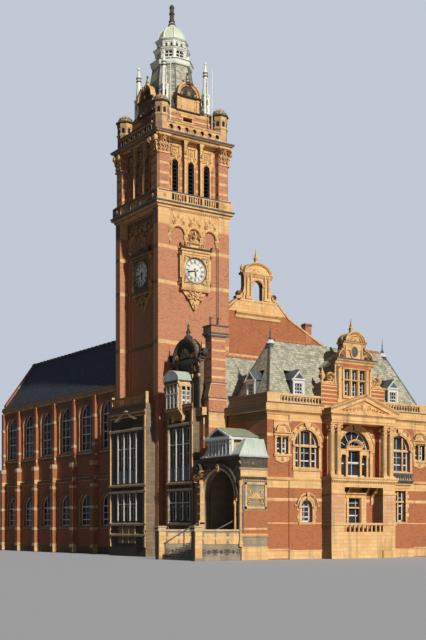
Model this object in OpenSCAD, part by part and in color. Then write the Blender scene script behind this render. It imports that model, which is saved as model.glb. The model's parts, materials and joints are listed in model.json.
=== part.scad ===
// Town hall with a clock tower, as a 1:2 scale model of the real building.
// Every size below is in millimetres of the model, so a real metre is 500 mm.
// X runs along the sunny street front, Y runs back from it, and Z is up.
// The origin is the near corner of the clock tower, at ground level.

/* [Levels] */
// Ground floor level
ground_floor = 950; // [800:10:1100]
// First floor level
first_floor = 3200; // [3000:10:3400]
// Attic floor level
attic_floor = 5700; // [5550:10:5800]
// Underside of the main cornice
cornice_low = 5650; // [5500:10:5750]
// Height of the main cornice
cornice_h = 300; // [200:10:400]
// Height of the parapet above the cornice
parapet_h = 400; // [300:10:600]
// Thickness of a floor slab
slab_t = 140; // [80:10:200]

/* [Walls] */
// Thickness of the main walls
wall_t = 250; // [180:10:320]
// How far the main cornice stands out
cornice_out = 180; // [80:10:260]
// Thickness of the window glass
glass_t = 12; // [6:1:24]

/* [Street wing] */
// Left end of the street wing
wing_x = 1250; // [1150:10:1400]
// Length of the street wing
wing_l = 8650; // [8400:10:9000]
// Front face of the street wing, in front of the tower
wing_front = 5850; // [5600:10:6100]
// Depth of the street wing
wing_d = 2900; // [2700:10:3100]
// Height of the wing roof above its eaves
wing_roof_h = 2700; // [2300:10:3000]
// Height of the roof behind the wing
middle_roof_h = 2400; // [2000:10:2600]
// Left face of the range behind the wing
middle_x = 300; // [250:10:400]
// Width of the frontispiece
front_w = 3360; // [3250:10:3500]
// How far the frontispiece stands out
front_out = 620; // [520:10:700]
// Radius of a frontispiece column
column_r = 115; // [90:5:140]
// Radius of the great arch
great_r = 800; // [700:10:850]

/* [Tower] */
// Width of the tower
tower_w = 3600; // [3400:10:3800]
// Width of a corner pier
pier_w = 550; // [450:10:650]
// How far the corner piers stand out from the panels
pier_out = 80; // [40:5:120]
// How far the left panel stands back from the piers, above the bay
side_in = 400; // [300:10:420]
// Width of a pier's face beside that recess
side_pier = 380; // [300:10:550]
// Top of the tower shaft, where the lower cornice starts
shaft_h = 14600; // [14200:50:15000]
// Height of the lower cornice
low_cornice_h = 250; // [180:10:350]
// Height of the belfry stage above the lower cornice
belfry_h = 2800; // [2600:10:3000]
// How far the belfry's walls stand back from its piers
belfry_in = 300; // [250:10:340]
// Height of the upper cornice
top_cornice_h = 140; // [100:10:200]
// Height of the tower parapet
top_parapet_h = 450; // [380:10:560]
// Width of a belfry opening
belfry_open_w = 320; // [240:10:380]
// Distance between belfry openings
belfry_pitch = 800; // [700:10:860]
// Radius of a corner turret
turret_r = 320; // [280:5:335]
// Height of a corner turret's drum
turret_h = 1210; // [1100:10:1300]
// Inset of a turret's middle from the tower corner
turret_in = 310; // [290:5:315]
// Inset of the brick attic stage from the tower face
attic_in = 560; // [550:5:600]
// Height of the attic stage
attic_h = 1210; // [1100:10:1300]
// Height of the slate roof above the attic stage
spire_h = 2300; // [2100:10:2400]
// Radius of the slate roof at its top
spire_r = 812; // [760:2:840]
// Radius of the lantern ring
ring_r = 935; // [880:5:960]
// Height of the lantern ring
ring_h = 220; // [180:10:300]
// Radius of the lantern's lower stage
lantern_r = 715; // [680:5:740]
// Height of the lantern's lower stage
lantern_low_h = 470; // [400:10:520]
// Height of the lantern's upper stage
lantern_top_h = 430; // [360:10:460]
// Radius of the dome
dome_r = 640; // [600:5:680]
// Height of the dome
dome_h = 650; // [600:10:700]

/* [Clock] */
// Drop of the clock centre below the top of the shaft
clock_drop = 2500; // [2400:10:2600]
// Radius of a clock dial
dial_r = 525; // [450:5:560]
// Width of a clock frame
frame_w = 1400; // [1300:10:1500]
// Height of a clock frame
frame_h = 1560; // [1450:10:1650]
// How far a clock frame stands out from its panel
frame_out = 180; // [140:5:220]
// Thickness of a dial
dial_t = 130; // [100:5:140]
// Clear space between a hand and what is behind it
hand_gap = 8; // [6:1:12]
// Thickness of a hand
hand_t = 10; // [8:1:14]
// Radius of the arbor that carries the hands
arbor_r = 20; // [14:1:26]
// Clearance of a hand on its arbor
arbor_gap = 0.3; // [0.2:0.1:0.5]

/* [Entrance] */
// Width of the doorway
door_w = 1000; // [900:10:1100]
// Height of the doorway
door_h = 1350; // [1250:10:1450]
// Middle of the doorway, in front of the tower
door_y = 4550; // [4450:10:4650]
// Thickness of a door leaf
leaf_t = 45; // [35:1:60]
// Space between a leaf and the wall it closes against
leaf_gap = 6; // [5:1:10]
// Radius of the hinge pins
pin_r = 10; // [8:1:12]
// Clearance of a hinge pin
pin_gap = 0.3; // [0.2:0.1:0.5]
// Radius of the porch arch
porch_r = 1050; // [950:10:1100]
// Number of risers in the entrance flight
risers = 12; // [11:1:13]
// Going of one tread
going = 165; // [150:5:180]

/* [Rear ranges] */
// Length of one bay of the left wing
bay_l = 2100; // [2000:10:2200]
// Number of bays in the left wing
bays = 6; // [5:1:6]
// Left face of the left wing
left_x = 150; // [100:10:250]
// Front face of the hall gable, behind the tower's front
hall_y = 600; // [500:10:800]
// Height of the hall ridge
hall_ridge = 11200; // [10800:50:11500]
// Eaves of the left wing
left_eaves = 7600; // [7400:10:7700]
// Height of the left wing's ridge
left_ridge = 10100; // [9900:10:10150]
// Eaves of the hall
hall_eaves = 9200; // [9000:10:9300]

/* [Hidden] */
$fn = 32;

brick = "#b5532f";
stone = "#e0bd8a";
slate = "#6d746b";
copper = "#9fc0ab";
white = "#e8e4d8";
iron = "#2a2a2c";

eaves = cornice_low + cornice_h;
wing_right = wing_x + wing_l;
wing_mid = wing_x + wing_l / 2;
wing_back = wing_front - wing_d;
left_back = tower_w + bays * bay_l;
left_mid = (left_x + tower_w) / 2;
belfry_floor = shaft_h + low_cornice_h;
tower_top = belfry_floor + belfry_h;
parapet_base = tower_top + top_cornice_h;
tower_mid = tower_w / 2;
tower_t = pier_w - pier_out;
attic_half = tower_mid - attic_in;
attic_top = parapet_base + attic_h;
roof_top = attic_top + spire_h;
lantern_base = roof_top + ring_h;
dome_base = lantern_base + lantern_low_h + lantern_top_h;
clock_z = shaft_h - clock_drop;
bay_face = 0;
tower_bay = [250, tower_w - 250];
range_bay = [-2650, -700];
hall_mid = wing_mid;
step_y = [-5600, -3340];
porch_top = 3860;
porch_y = 4470;
porch_rise = 1400;
box_y = [-5230, -3720];
box_wall = 80;
box_sill = porch_top + 90;
hall_inner_h = hall_ridge - 1000;
oriel_out = 300;
oriel_y = [-2030, -1110];
oriel_wall = 110;
oriel_sill = eaves + 160;
oriel_top = 7100;
hip_run = 1105;
attic_back = -4450;
entablature_h = 350;
pediment_h = 700;
attic_w = 1750;
attic_base_h = 900;
attic_body_h = 1825;
gap = 10;
rail_t = 130;
corner_l = 650;
bay_top = 6400;
bay_roof_t = 100;
tower_bay_face = -450;
spire_foot = (attic_half - 105) / cos(22.5);
parapet_t = 150;
belfry_sill = 200;
belfry_rise = 1570;
belfry_chamfer = 90;
eps = 0.01;

// A box given by its two corners
module block(a, b) {
    translate(a) cube([b[0] - a[0], b[1] - a[1], b[2] - a[2]]);
}

// A square tube from z0 to z1
module square_tube(out0, out1, thick, z0, z1) {
    difference() {
        block([out0, out0, z0], [out1, out1, z1]);
        block([out0 + thick, out0 + thick, z0 - 1], [out1 - thick, out1 - thick, z1 + 1]);
    }
}

// Repeats its children on the four sides of the tower
module tower_sides() {
    for (turn = [0:90:270])
        translate([tower_mid, tower_mid, 0]) rotate(turn) translate([-tower_mid, -tower_mid, 0])
            children();
}

// A round-headed opening through a wall that faces -Y
module arch_hole(w, rise, depth) {
    translate([-w / 2, -1, 0]) cube([w, depth + 2, rise]);
    translate([0, -1, rise]) rotate([-90, 0, 0]) cylinder(r = w / 2, h = depth + 2);
}

// A square-headed opening through a wall that faces -Y
module square_hole(w, h, depth) {
    translate([-w / 2, -1, 0]) cube([w, depth + 2, h]);
}

// A gable roof along X, from its eaves to its ridge
module ridge_x(x0, x1, y0, y1, z0, h) {
    translate([x0, 0, 0]) rotate([90, 0, 90]) linear_extrude(x1 - x0)
        polygon([[y0, z0], [y1, z0], [(y0 + y1) / 2, z0 + h]]);
}

// Clock tower
module tower_walls() {
    color(brick) difference() {
        tower_sides() {
            block([pier_w, pier_out, 0], [tower_w - pier_w, pier_w, belfry_floor]);
            block([pier_w, belfry_in, belfry_floor], [tower_w - pier_w, pier_w, tower_top]);
        }
        tower_sides() for (i = [-1:1])
            translate([tower_mid + i * belfry_pitch, belfry_in, belfry_floor + belfry_sill])
                arch_hole(belfry_open_w, belfry_rise, pier_w - belfry_in);
        block([0, tower_bay[0] + 650, lower_sill], [pier_w + 1, tower_bay[1] - 650, 5300]);
        side_recess();
        tower_sides() translate([tower_mid, pier_out, ground_floor]) square_hole(900, door_h, tower_t);
    }
}

module corner_piers() {
    color(brick) difference() {
        tower_sides() {
            block([0, 0, 0], [pier_w, pier_w, belfry_floor]);
            translate([0, 0, belfry_floor]) linear_extrude(belfry_h)
                polygon([[belfry_chamfer, 0], [pier_w, 0], [pier_w, pier_w], [0, pier_w],
                    [0, belfry_chamfer]]);
        }
        side_recess();
    }
}

// The deep recess in the tower's left face, above the bay
module side_recess() {
    block([-1, side_pier, bay_top], [side_in, tower_w - side_pier, shaft_h]);
}

// Slim shafts that stand before the belfry's walls, with capitals and brackets under the cornice
module belfry_shafts() {
    w = 110;
    set = 60;
    shaft = 2000;
    capital = 110;
    color(stone) tower_sides() for (side = [-1, 1])
        translate([tower_mid + side * belfry_pitch / 2, set, belfry_floor]) {
            translate([-w / 2, 0, 0]) cube([w, w, shaft]);
            translate([-w / 2 - 30, -30, shaft]) cube([w + 60, w + 60, capital]);
            translate([-w / 2, 0, shaft + capital]) cube([w, belfry_in - set, belfry_h - shaft - capital]);
        }
}

module louvres() {
    blade_w = belfry_open_w - 30;
    color(iron) tower_sides() for (i = [-1:1])
        translate([tower_mid + i * belfry_pitch, belfry_in + 60, belfry_floor + belfry_sill]) {
            for (side = [-1, 1])
                translate([side * (belfry_open_w / 2 - 15) - 15, 0, 0]) cube([30, 120, belfry_rise]);
            for (k = [0:9])
                translate([-blade_w / 2, 20, 40 + k * 165]) cube([blade_w, 90, 30]);
        }
}

module tower_cornices() {
    bed = 110;
    color(stone) difference() {
        union() {
            cornice_step(50, shaft_h, shaft_h + bed);
            cornice_step(150, shaft_h + bed, belfry_floor);
        }
        tower_core(shaft_h - 1, belfry_floor + 1);
    }
    color(stone) difference() {
        union() {
            cornice_step(60, tower_top, tower_top + 50);
            cornice_step(150, tower_top + 50, parapet_base);
        }
        block([pier_w, pier_w, tower_top - 1],
            [tower_w - pier_w, tower_w - pier_w, parapet_base + 1]);
    }
}

// A square step of a cornice that overhangs the tower by out
module cornice_step(out, z0, z1) {
    block([-out, -out, z0], [tower_w + out, tower_w + out, z1]);
}

// The outline of the piers and of the panels between them
module tower_core(z0, z1) {
    block([pier_out, pier_out, z0], [tower_w - pier_out, tower_w - pier_out, z1]);
    tower_sides() block([0, 0, z0], [pier_w, pier_w, z1]);
}

module balustrades() {
    color(stone) {
        belfry_rails();
        roof_rails();
    }
}

module belfry_rails() {
    rail = 430;
    bar = 80;
    post = 60;
    inner = pier_w + 60;
    tower_sides() translate([0, 0, belfry_floor]) {
        block([-100, -100, 0], [inner, 0, rail]);
        block([tower_w - inner, -100, 0], [tower_w + 100, 0, rail]);
        for (z = [0, rail - bar])
            block([inner, -90, z], [tower_w - inner, -10, z + bar]);
        for (side = [-1, 1])
            translate([tower_mid + side * belfry_pitch / 2, 0, 0]) block([-post, -90, 0], [post, -10, rail]);
        for (bay = [-1:1]) for (i = [-2:2])
            translate([tower_mid + bay * belfry_pitch + i * 115, -50, bar])
                cylinder(r = 32, h = rail - 2 * bar);
    }
}

module roof_rails() {
    front = -wing_front + 20;
    mirror_bays() {
        rail_x(front_w / 2 + gap, wing_l / 2 - corner_l, front, eaves);
        block([wing_l / 2 - corner_l, front, eaves], [wing_l / 2 - 20, front + rail_t, eaves + parapet_h]);
    }
    block([wing_right - 20 - rail_t, front + rail_t, eaves],
        [wing_right - 20, hall_y - gap, eaves + parapet_h]);
    block([wing_x + 20, front + rail_t, eaves], [wing_x + 20 + rail_t, -wing_back - 420, eaves + parapet_h]);
    translate([tower_bay_face + 20, 0, 0]) {
        block([0, tower_bay[0] + 20, bay_top], [rail_t, tower_bay[0] + 200, bay_top + parapet_h + 90]);
        block([0, tower_bay[1] - 200, bay_top], [rail_t, tower_bay[1] - 20, bay_top + parapet_h + 90]);
        translate([rail_t, 0, 0]) rotate(90) rail_x(tower_bay[0] + 200, tower_bay[1] - 200, 0, bay_top);
    }
}

module tower_parapet() {
    holes = 7;
    pitch = 390;
    color(stone) difference() {
        square_tube(0, tower_w, parapet_t, parapet_base, parapet_base + top_parapet_h);
        tower_sides() {
            for (i = [0:holes - 1])
                translate([tower_mid + (i - (holes - 1) / 2) * pitch, -1, parapet_base + top_parapet_h / 2])
                    rotate([-90, 0, 0]) cylinder(r = 95, h = parapet_t + 2);
            translate([turret_in, turret_in, parapet_base - 1]) turret_drum(turret_r, top_parapet_h + 2);
            block([-1, -1, parapet_base - 1], [turret_in, turret_in, parapet_base + top_parapet_h + 1]);
        }
    }
}

module corner_turrets() {
    eave = 60;
    color(brick) tower_sides() translate([turret_in, turret_in, parapet_base]) {
        turret_drum(turret_r, turret_h);
        translate([0, 0, turret_h]) turret_drum(turret_r + 45, eave);
        translate([0, 0, turret_h + eave]) rotate(22.5) rotate_extrude($fn = 8)
            polygon([[0, 0], [turret_r, 0], [290, 110], [220, 210], [110, 290], [0, 320]]);
    }
}

// An eight-sided drum, r from its middle to its flat sides
module turret_drum(r, h) {
    rotate(22.5) cylinder(r = r / cos(22.5), h = h, $fn = 8);
}

module tower_attic() {
    wall = 200;
    cap = 100;
    in = attic_in;
    out = tower_w - attic_in;
    color(brick) difference() {
        block([in, in, parapet_base], [out, out, attic_top]);
        block([in + wall, in + wall, parapet_base - 1], [out - wall, out - wall, attic_top - cap]);
        translate([tower_mid, tower_mid, attic_top - cap - 1]) rotate(22.5)
            cylinder(r = spire_foot - 200, h = cap + 2, $fn = 8);
        tower_sides() translate([tower_mid, in, parapet_base + 800]) square_hole(460, 180, wall);
    }
}

module tower_gables() {
    w = 1130;
    deep = 260;
    body = 590;
    color(stone) tower_sides() translate([tower_mid, attic_in - 60, attic_top]) {
        difference() {
            translate([-w / 2, 0, 0]) cube([w, deep, body]);
            translate([0, attic_half + 60, -1]) rotate(22.5)
                cylinder(r1 = spire_foot + 5, r2 = spire_at(body) + 5, h = body + 2, $fn = 8);
        }
        translate([-w / 2 - 60, -30, body]) cube([w + 120, 170, 80]);
        translate([0, 0, body + 80]) rotate([-90, 0, 0]) difference() {
            cylinder(r = w / 2, h = 120);
            translate([-w, 0, -1]) cube([2 * w, w, 122]);
        }
        translate([0, 60, body + w / 2 + 60]) cylinder(r1 = 110, r2 = 25, h = 420);
    }
}

// Radius of the slate roof at a height above its foot
function spire_at(z) = spire_foot + (spire_r - spire_foot) * z / spire_h;

module pinnacles() {
    at = tower_mid - attic_half + 185;
    color(white) tower_sides() translate([at, at, attic_top]) {
        translate([-165, -165, 0]) cube([330, 330, 140]);
        translate([-130, -130, 140]) cube([260, 260, 860]);
        translate([0, 0, 1000]) cylinder(r1 = 125, r2 = 82, h = 950);
        translate([0, 0, 1950]) cylinder(r = 100, h = 130);
        translate([0, 0, 2080]) cylinder(r1 = 75, r2 = 20, h = 320);
    }
}

module tower_roof() {
    skin = 120;
    color(slate) translate([tower_mid, tower_mid, attic_top]) rotate(22.5) difference() {
        cylinder(r1 = spire_foot, r2 = spire_r, h = spire_h, $fn = 8);
        translate([0, 0, -eps]) cylinder(r1 = spire_foot - skin, r2 = spire_r - skin,
            h = spire_h + 2 * eps, $fn = 8);
    }
}

module lantern() {
    cap = 90;
    wall = 110;
    top_r = lantern_r - 75;
    rise = lantern_base + lantern_low_h;
    color(white) translate([tower_mid, tower_mid, 0]) rotate(22.5) {
        difference() {
            union() {
                translate([0, 0, roof_top]) cylinder(r1 = ring_r, r2 = lantern_r + 40, h = ring_h, $fn = 8);
                translate([0, 0, lantern_base]) cylinder(r = lantern_r, h = lantern_low_h - cap, $fn = 8);
                translate([0, 0, rise - cap]) cylinder(r = lantern_r + 50, h = cap, $fn = 8);
                translate([0, 0, rise]) cylinder(r = top_r, h = lantern_top_h, $fn = 8);
            }
            translate([0, 0, lantern_base + 60])
                cylinder(r = lantern_r - wall, h = lantern_low_h - cap - 60, $fn = 8);
            translate([0, 0, rise - cap - 1]) cylinder(r = top_r - wall, h = lantern_top_h + cap, $fn = 8);
            for (k = [0:3]) rotate(22.5 + k * 45) {
                lantern_hole(380, lantern_base + 60, 300, 70);
                for (side = [-1, 1])
                    translate([0, side * 115, 0]) lantern_hole(120, rise + 60, 200, 50);
            }
        }
    }
}

// An opening through both sides of the lantern, with its top corners cut off
module lantern_hole(w, z, h, chamfer) {
    translate([-lantern_r - 10, 0, z]) rotate([90, 0, 90]) linear_extrude(2 * lantern_r + 20)
        polygon([[-w / 2, 0], [w / 2, 0], [w / 2, h - chamfer], [w / 2 - chamfer, h],
            [chamfer - w / 2, h], [-w / 2, h - chamfer]]);
}

module tower_dome() {
    shoulder = dome_r - 30;
    dome_seat = 0.1;
    color(copper) translate([tower_mid, tower_mid, dome_base + dome_seat]) rotate(22.5) {
        rotate_extrude($fn = 8) polygon(concat([[0, 0], [dome_r + 30, 0], [dome_r + 20, 40]],
            [for (a = [0:9:81]) [shoulder * pow(cos(a), 0.8), 60 + (dome_h - 60) * pow(sin(a), 1.15)]],
            [[0, dome_h]]));
        translate([0, 0, dome_h - 10]) cylinder(r1 = 165, r2 = 95, h = 290);
        translate([0, 0, dome_h + 280]) cylinder(r = 85, h = 690);
        translate([0, 0, dome_h + 970]) cylinder(r1 = 85, r2 = 30, h = 60);
    }
}

// Clocks. Repeats its children on the tower's four panels, at the middle of a clock
module clock_sides() {
    for (turn = [0:90:270])
        translate([tower_mid, tower_mid, clock_z]) rotate(turn)
            translate([0, (turn == 270 ? side_in : pier_out) - tower_mid, 0])
                children();
}

module clock_frames() {
    crest = 420;
    drop = 760;
    color(stone) clock_sides() {
        difference() {
            union() {
                translate([-frame_w / 2, -frame_out, -frame_h / 2])
                    cube([frame_w, frame_out, frame_h]);
                translate([-frame_w / 2 - 70, -frame_out - 70, frame_h / 2])
                    cube([frame_w + 140, frame_out + 70, 110]);
                translate([-frame_w / 2 - 40, -frame_out - 40, -frame_h / 2 - 90])
                    cube([frame_w + 80, frame_out + 40, 90]);
                translate([0, 0, frame_h / 2 + 110]) rotate([90, 0, 0]) linear_extrude(100)
                    polygon([[-frame_w / 2, 0], [frame_w / 2, 0], [frame_w / 4, crest / 3],
                        [frame_w / 8, crest], [-frame_w / 8, crest], [-frame_w / 4, crest / 3]]);
                translate([0, 0, -frame_h / 2 - 90]) rotate([90, 0, 0]) linear_extrude(110)
                    polygon([[frame_w / 2 - 60, 0], [60 - frame_w / 2, 0], [-frame_w / 5, -drop / 2],
                        [-60, -drop], [60, -drop], [frame_w / 5, -drop / 2]]);
            }
            translate([0, -frame_out - 1, 0]) rotate([-90, 0, 0])
                cylinder(r = dial_r + 20, h = frame_out + 2, $fn = 64);
        }
    }
}

hour_back = dial_t + hand_gap;
minute_back = hour_back + hand_t + hand_gap;
arbor_l = minute_back + hand_t + hand_gap;

module clock_dials() {
    color(white) clock_sides() rotate([90, 0, 0]) {
        cylinder(r = dial_r + 20, h = dial_t, $fn = 64);
        cylinder(r = arbor_r, h = arbor_l + 6);
        translate([0, 0, arbor_l]) cylinder(r = arbor_r + 14, h = 12);
    }
    color(iron) for (turn = [90, 180])
        translate([tower_mid, tower_mid, 0]) rotate(turn) translate([0, pier_out - tower_mid, clock_z])
            rotate([90, 0, 0]) {
                translate([-14, arbor_r - 4, hour_back]) cube([28, 270, hand_t]);
                translate([arbor_r - 4, -12, minute_back]) cube([380, 24, hand_t]);
            }
}

// A hand that points up, in the plane of its dial
module hand(reach, tail, w, back) {
    translate([0, 0, back]) difference() {
        union() {
            cylinder(r = arbor_r + 22, h = hand_t);
            translate([-w / 2, 0, 0]) cube([w, reach, hand_t]);
            translate([-w / 2, -tail, 0]) cube([w, tail, hand_t]);
        }
        translate([0, 0, -1]) cylinder(r = arbor_r + arbor_gap, h = hand_t + 2);
    }
}

module on_front() {
    translate([tower_mid, pier_out, clock_z]) rotate([90, 0, 0]) children();
}

module on_side() {
    translate([side_in, tower_mid, clock_z]) rotate([0, 0, -90]) rotate([90, 0, 0]) children();
}

minute_turn = 102;
hour_turn = 188.5;

module front_minute_hand() {
    color(iron) on_front() rotate(minute_turn) hand(460, 90, 26, minute_back);
}

module front_hour_hand() {
    color(iron) on_front() rotate(hour_turn) hand(310, 70, 34, hour_back);
}

module side_minute_hand() {
    color(iron) on_side() rotate(minute_turn) hand(460, 90, 26, minute_back);
}

module side_hour_hand() {
    color(iron) on_side() rotate(hour_turn) hand(310, 70, 34, hour_back);
}

// Floors
module floors() {
    back = [range_bay[0] + wall_t, range_bay[1] - wall_t];
    color("#8d8478") {
        for (z = [ground_floor, first_floor, attic_floor, belfry_floor, parapet_base])
            block([pier_w, pier_w, z - (z == parapet_base ? top_cornice_h : slab_t)],
                [tower_w - pier_w, tower_w - pier_w, z]);
        for (z = [ground_floor, first_floor, attic_floor]) {
            block([middle_x + wall_t, -wing_back + wall_t, z - slab_t], [wing_right - wall_t, 0, z]);
            block([bay_face + wall_t, back[0], z - slab_t], [middle_x + wall_t, back[1], z]);
            if (z != attic_floor) {
                block([tower_w, 0, z - slab_t], [wing_right - wall_t, hall_y, z]);
                block([left_x + wall_t, tower_w, z - slab_t], [tower_w, left_back - wall_t, z]);
                block([tower_bay_face + wall_t, tower_bay[0] + wall_t, z - slab_t],
                    [0, tower_bay[1] - wall_t, z]);
            }
        }
        block([0, tower_bay[0] + 650, first_floor - slab_t], [pier_w, tower_bay[1] - 650, first_floor]);
        block([tower_w, 0, eaves - slab_t], [wing_right - wall_t, hall_y, eaves]);
        block([tower_w + wall_t, hall_y + wall_t, ground_floor - slab_t],
            [wing_right - wall_t, left_back - wall_t, ground_floor]);
    }
}

module wing_floors() {
    color("#8d8478")
        for (z = [ground_floor, first_floor, attic_floor])
            block([wing_x + wall_t, -wing_front + wall_t, z - slab_t],
                [wing_right - wall_t, -wing_back + wall_t, z]);
}

// Street wing
end_windows = [-4800, -3900, -2500, -1300];
side_bay_x = 700;
arch_bay_x = 1880;
arch_w = 1175;
upper_sill = 3500;
lower_sill = 1300;
niche_sill = 1430;
niche_w = 520;

module mirror_bays() {
    for (side = [-1, 1])
        translate([wing_mid, 0, 0]) scale([side, 1, 1]) children();
}

module wing_holes(depth) {
    half = wing_l / 2;
    mirror_bays() {
        translate([half - side_bay_x, 0, 4020]) square_hole(560, 640, depth);
        translate([half - arch_bay_x, 0, upper_sill]) arch_hole(arch_w, 1500 - arch_w / 2, depth);
    }
    translate([wing_x + arch_bay_x, 0, niche_sill]) arch_hole(niche_w, 600, depth);
    translate([wing_right - arch_bay_x, 0, niche_sill]) square_hole(680, 1300, depth);
    translate([wing_mid, 0, first_floor + 50]) arch_hole(2 * great_r, 1050, depth);
    translate([wing_mid, 0, 1200]) square_hole(1300, 1500, depth);
}

module wing_front() {
    color(brick) difference() {
        block([wing_x, -wing_front, 0], [wing_right, -wing_front + wall_t, cornice_low]);
        translate([0, -wing_front, 0]) wing_holes(wall_t);
    }
}

module wing_ends() {
    color(brick) {
        difference() {
            block([wing_x, -wing_front + wall_t, ground_floor + door_h],
                [wing_x + wall_t, -wing_back + wall_t, cornice_low]);
            block([wing_x - 1, box_y[0] + box_wall, box_sill],
                [wing_x + wall_t + 1, box_y[1] - box_wall, 4560]);
        }
        difference() {
            block([wing_right - wall_t, -wing_front + wall_t, 0], [wing_right, hall_y, cornice_low]);
            for (y = end_windows) for (z = [1500, 3700])
                block([wing_right - wall_t - 1, y - 300, z], [wing_right + 1, y + 300, z + 1300]);
        }
    }
}

module doorway_walls() {
    y0 = -door_y - door_w / 2;
    y1 = -door_y + door_w / 2;
    top = ground_floor + door_h;
    color(brick) {
        block([wing_x, -wing_front + wall_t, 0], [wing_x + wall_t, y0, top]);
        block([wing_x, y1, 0], [wing_x + wall_t, -wing_back + wall_t, top]);
        block([wing_x, y0, 0], [wing_x + wall_t, y1, ground_floor - slab_t]);
        for (z = [250, door_h - 300]) {
            hinge_pin(y0 - 30, z);
            hinge_pin(y1 + 30, z);
        }
    }
}

leaf_x = wing_x + wall_t + leaf_gap;
hinge_x = leaf_x + leaf_t / 2;
knuckle_r = leaf_t / 2;
knuckle_l = 90;

module hinge_pin(y, z) {
    translate([hinge_x, y, ground_floor + z]) cylinder(r = pin_r, h = knuckle_l + 60);
    block([wing_x + wall_t, y - 20, ground_floor + z], [hinge_x + 15, y + 20, ground_floor + z + 40]);
}

module door_leaf(y, side) {
    w = door_w / 2 + 30 - 4;
    color("#3c4a44") difference() {
        union() {
            translate([leaf_x, side > 0 ? y : y - w, ground_floor + 10]) cube([leaf_t, w, door_h + 20]);
            translate([hinge_x, y, ground_floor + 10]) cylinder(r = knuckle_r, h = door_h + 20);
        }
        for (z = [250, door_h - 300]) {
            translate([hinge_x, y, ground_floor + z - 6])
                cylinder(r = 40, h = 40 + 6 + pin_gap);
            translate([hinge_x, y, ground_floor + z]) cylinder(r = pin_r + pin_gap, h = knuckle_l + 66);
        }
    }
}

module left_door() {
    door_leaf(-door_y + door_w / 2 + 30, -1);
}

module right_door() {
    door_leaf(-door_y - door_w / 2 - 30, 1);
}

module front_piers() {
    face = -wing_front - front_out;
    pier = 670;
    inner = front_w / 2 - pier;
    slab = first_floor - 160;
    color(stone) {
        for (side = [-1, 1])
            translate([wing_mid + side * (front_w - pier) / 2 - pier / 2, face, 0])
                cube([pier, front_out, slab]);
        block([wing_mid - inner, face, slab - 240], [wing_mid + inner, face + 200, slab]);
        block([wing_mid - front_w / 2 - 60, face - 90, slab],
            [wing_mid + front_w / 2 + 60, -wing_front, first_floor]);
        block([wing_mid - inner, face, 0], [wing_mid + inner, face + 160, 1050]);
        block([wing_mid - inner, face - 20, 1310], [wing_mid + inner, face + 160, 1400]);
        for (i = [0:8])
            translate([wing_mid - inner + 105 + i * (2 * inner - 210) / 8, face + 80, 1050])
                cylinder(r = 50, h = 260);
    }
}

module front_columns() {
    axis = -wing_front - front_out + 170;
    top = cornice_low - entablature_h;
    tall = top - first_floor;
    pedestal = 70;
    color(stone) mirror_bays() for (k = [1220, 1545])
        translate([k, axis, first_floor]) {
            translate([-150, -150, 0]) cube([300, 300, pedestal]);
            translate([0, 0, pedestal]) cylinder(r = column_r + 20, h = 60);
            translate([0, 0, pedestal + 60]) cylinder(r = column_r, h = tall - pedestal - 220);
            translate([0, 0, tall - 160]) cylinder(r = column_r + 20, h = 80);
            translate([-150, -150, tall - 80]) cube([300, 300, 80]);
        }
}

module pediment() {
    face = -wing_front - front_out;
    half = front_w / 2;
    deep = front_out - cornice_out + 60;
    color(stone) {
        block([wing_mid - half, face, cornice_low - entablature_h],
            [wing_mid + half, -wing_front, cornice_low]);
        translate([wing_mid, -wing_front - cornice_out, 0]) rotate([90, 0, 0]) difference() {
            linear_extrude(deep) polygon([[-half - 80, cornice_low], [half + 80, cornice_low],
                [half + 80, cornice_low + 90], [0, cornice_low + pediment_h],
                [-half - 80, cornice_low + 90]]);
            translate([0, 0, deep - 80]) linear_extrude(81)
                polygon([[300 - half, cornice_low + 100], [half - 300, cornice_low + 100],
                    [0, cornice_low + pediment_h - 120]]);
        }
    }
}

module attic_gable() {
    face = -wing_front;
    base = eaves + attic_base_h;
    body = eaves + attic_body_h;
    half = attic_w / 2;
    color(stone) difference() {
        union() {
            block([wing_mid - front_w / 2, face, eaves], [wing_mid + front_w / 2, face + 350, base]);
            block([wing_mid - half, face - 40, eaves], [wing_mid + half, face + 400, body]);
            block([wing_mid - half - 90, face - 120, body], [wing_mid + half + 90, face + 400, body + 130]);
            block([wing_mid - 480, face, body + 130], [wing_mid + 480, face + 400, body + 760]);
            block([wing_mid - 560, face - 60, body + 760], [wing_mid + 560, face + 400, body + 840]);
            translate([wing_mid, face - 40, body + 840]) rotate([-90, 0, 0]) scale([1, 0.75, 1])
                cylinder(r = 520, h = 440);
            translate([wing_mid, face + 150, body + 1180]) cylinder(r1 = 110, r2 = 25, h = 430);
            mirror_bays() {
                attic_scroll(half, base, 700, 620);
                attic_scroll(480, body + 130, 420, 520);
            }
            block([wing_mid - half, face + 400, eaves], [wing_mid - half + 150, attic_back, eaves + 1700]);
            block([wing_mid + half - 150, face + 400, eaves], [wing_mid + half, attic_back, eaves + 1700]);
        }
        for (i = [-1:1]) {
            translate([wing_mid + i * 400, face - 40, eaves + 500]) square_hole(280, 600, 440);
            translate([wing_mid + i * 400, face - 40, eaves + 1150]) square_hole(280, 400, 440);
        }
        block([wing_mid - half + 150, face + 250, eaves - 1],
            [wing_mid + half - 150, face + 401, eaves + 1700]);
    }
}

// A hollow-sided buttress beside the attic gable, w wide and h tall
module attic_scroll(x, z, w, h) {
    translate([x, -wing_front + 300, z]) rotate([90, 0, 0]) linear_extrude(240) difference() {
        square([w, h]);
        translate([w, h]) scale([(w - 90) / (h - 90), 1]) circle(r = h - 90);
    }
}

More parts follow.
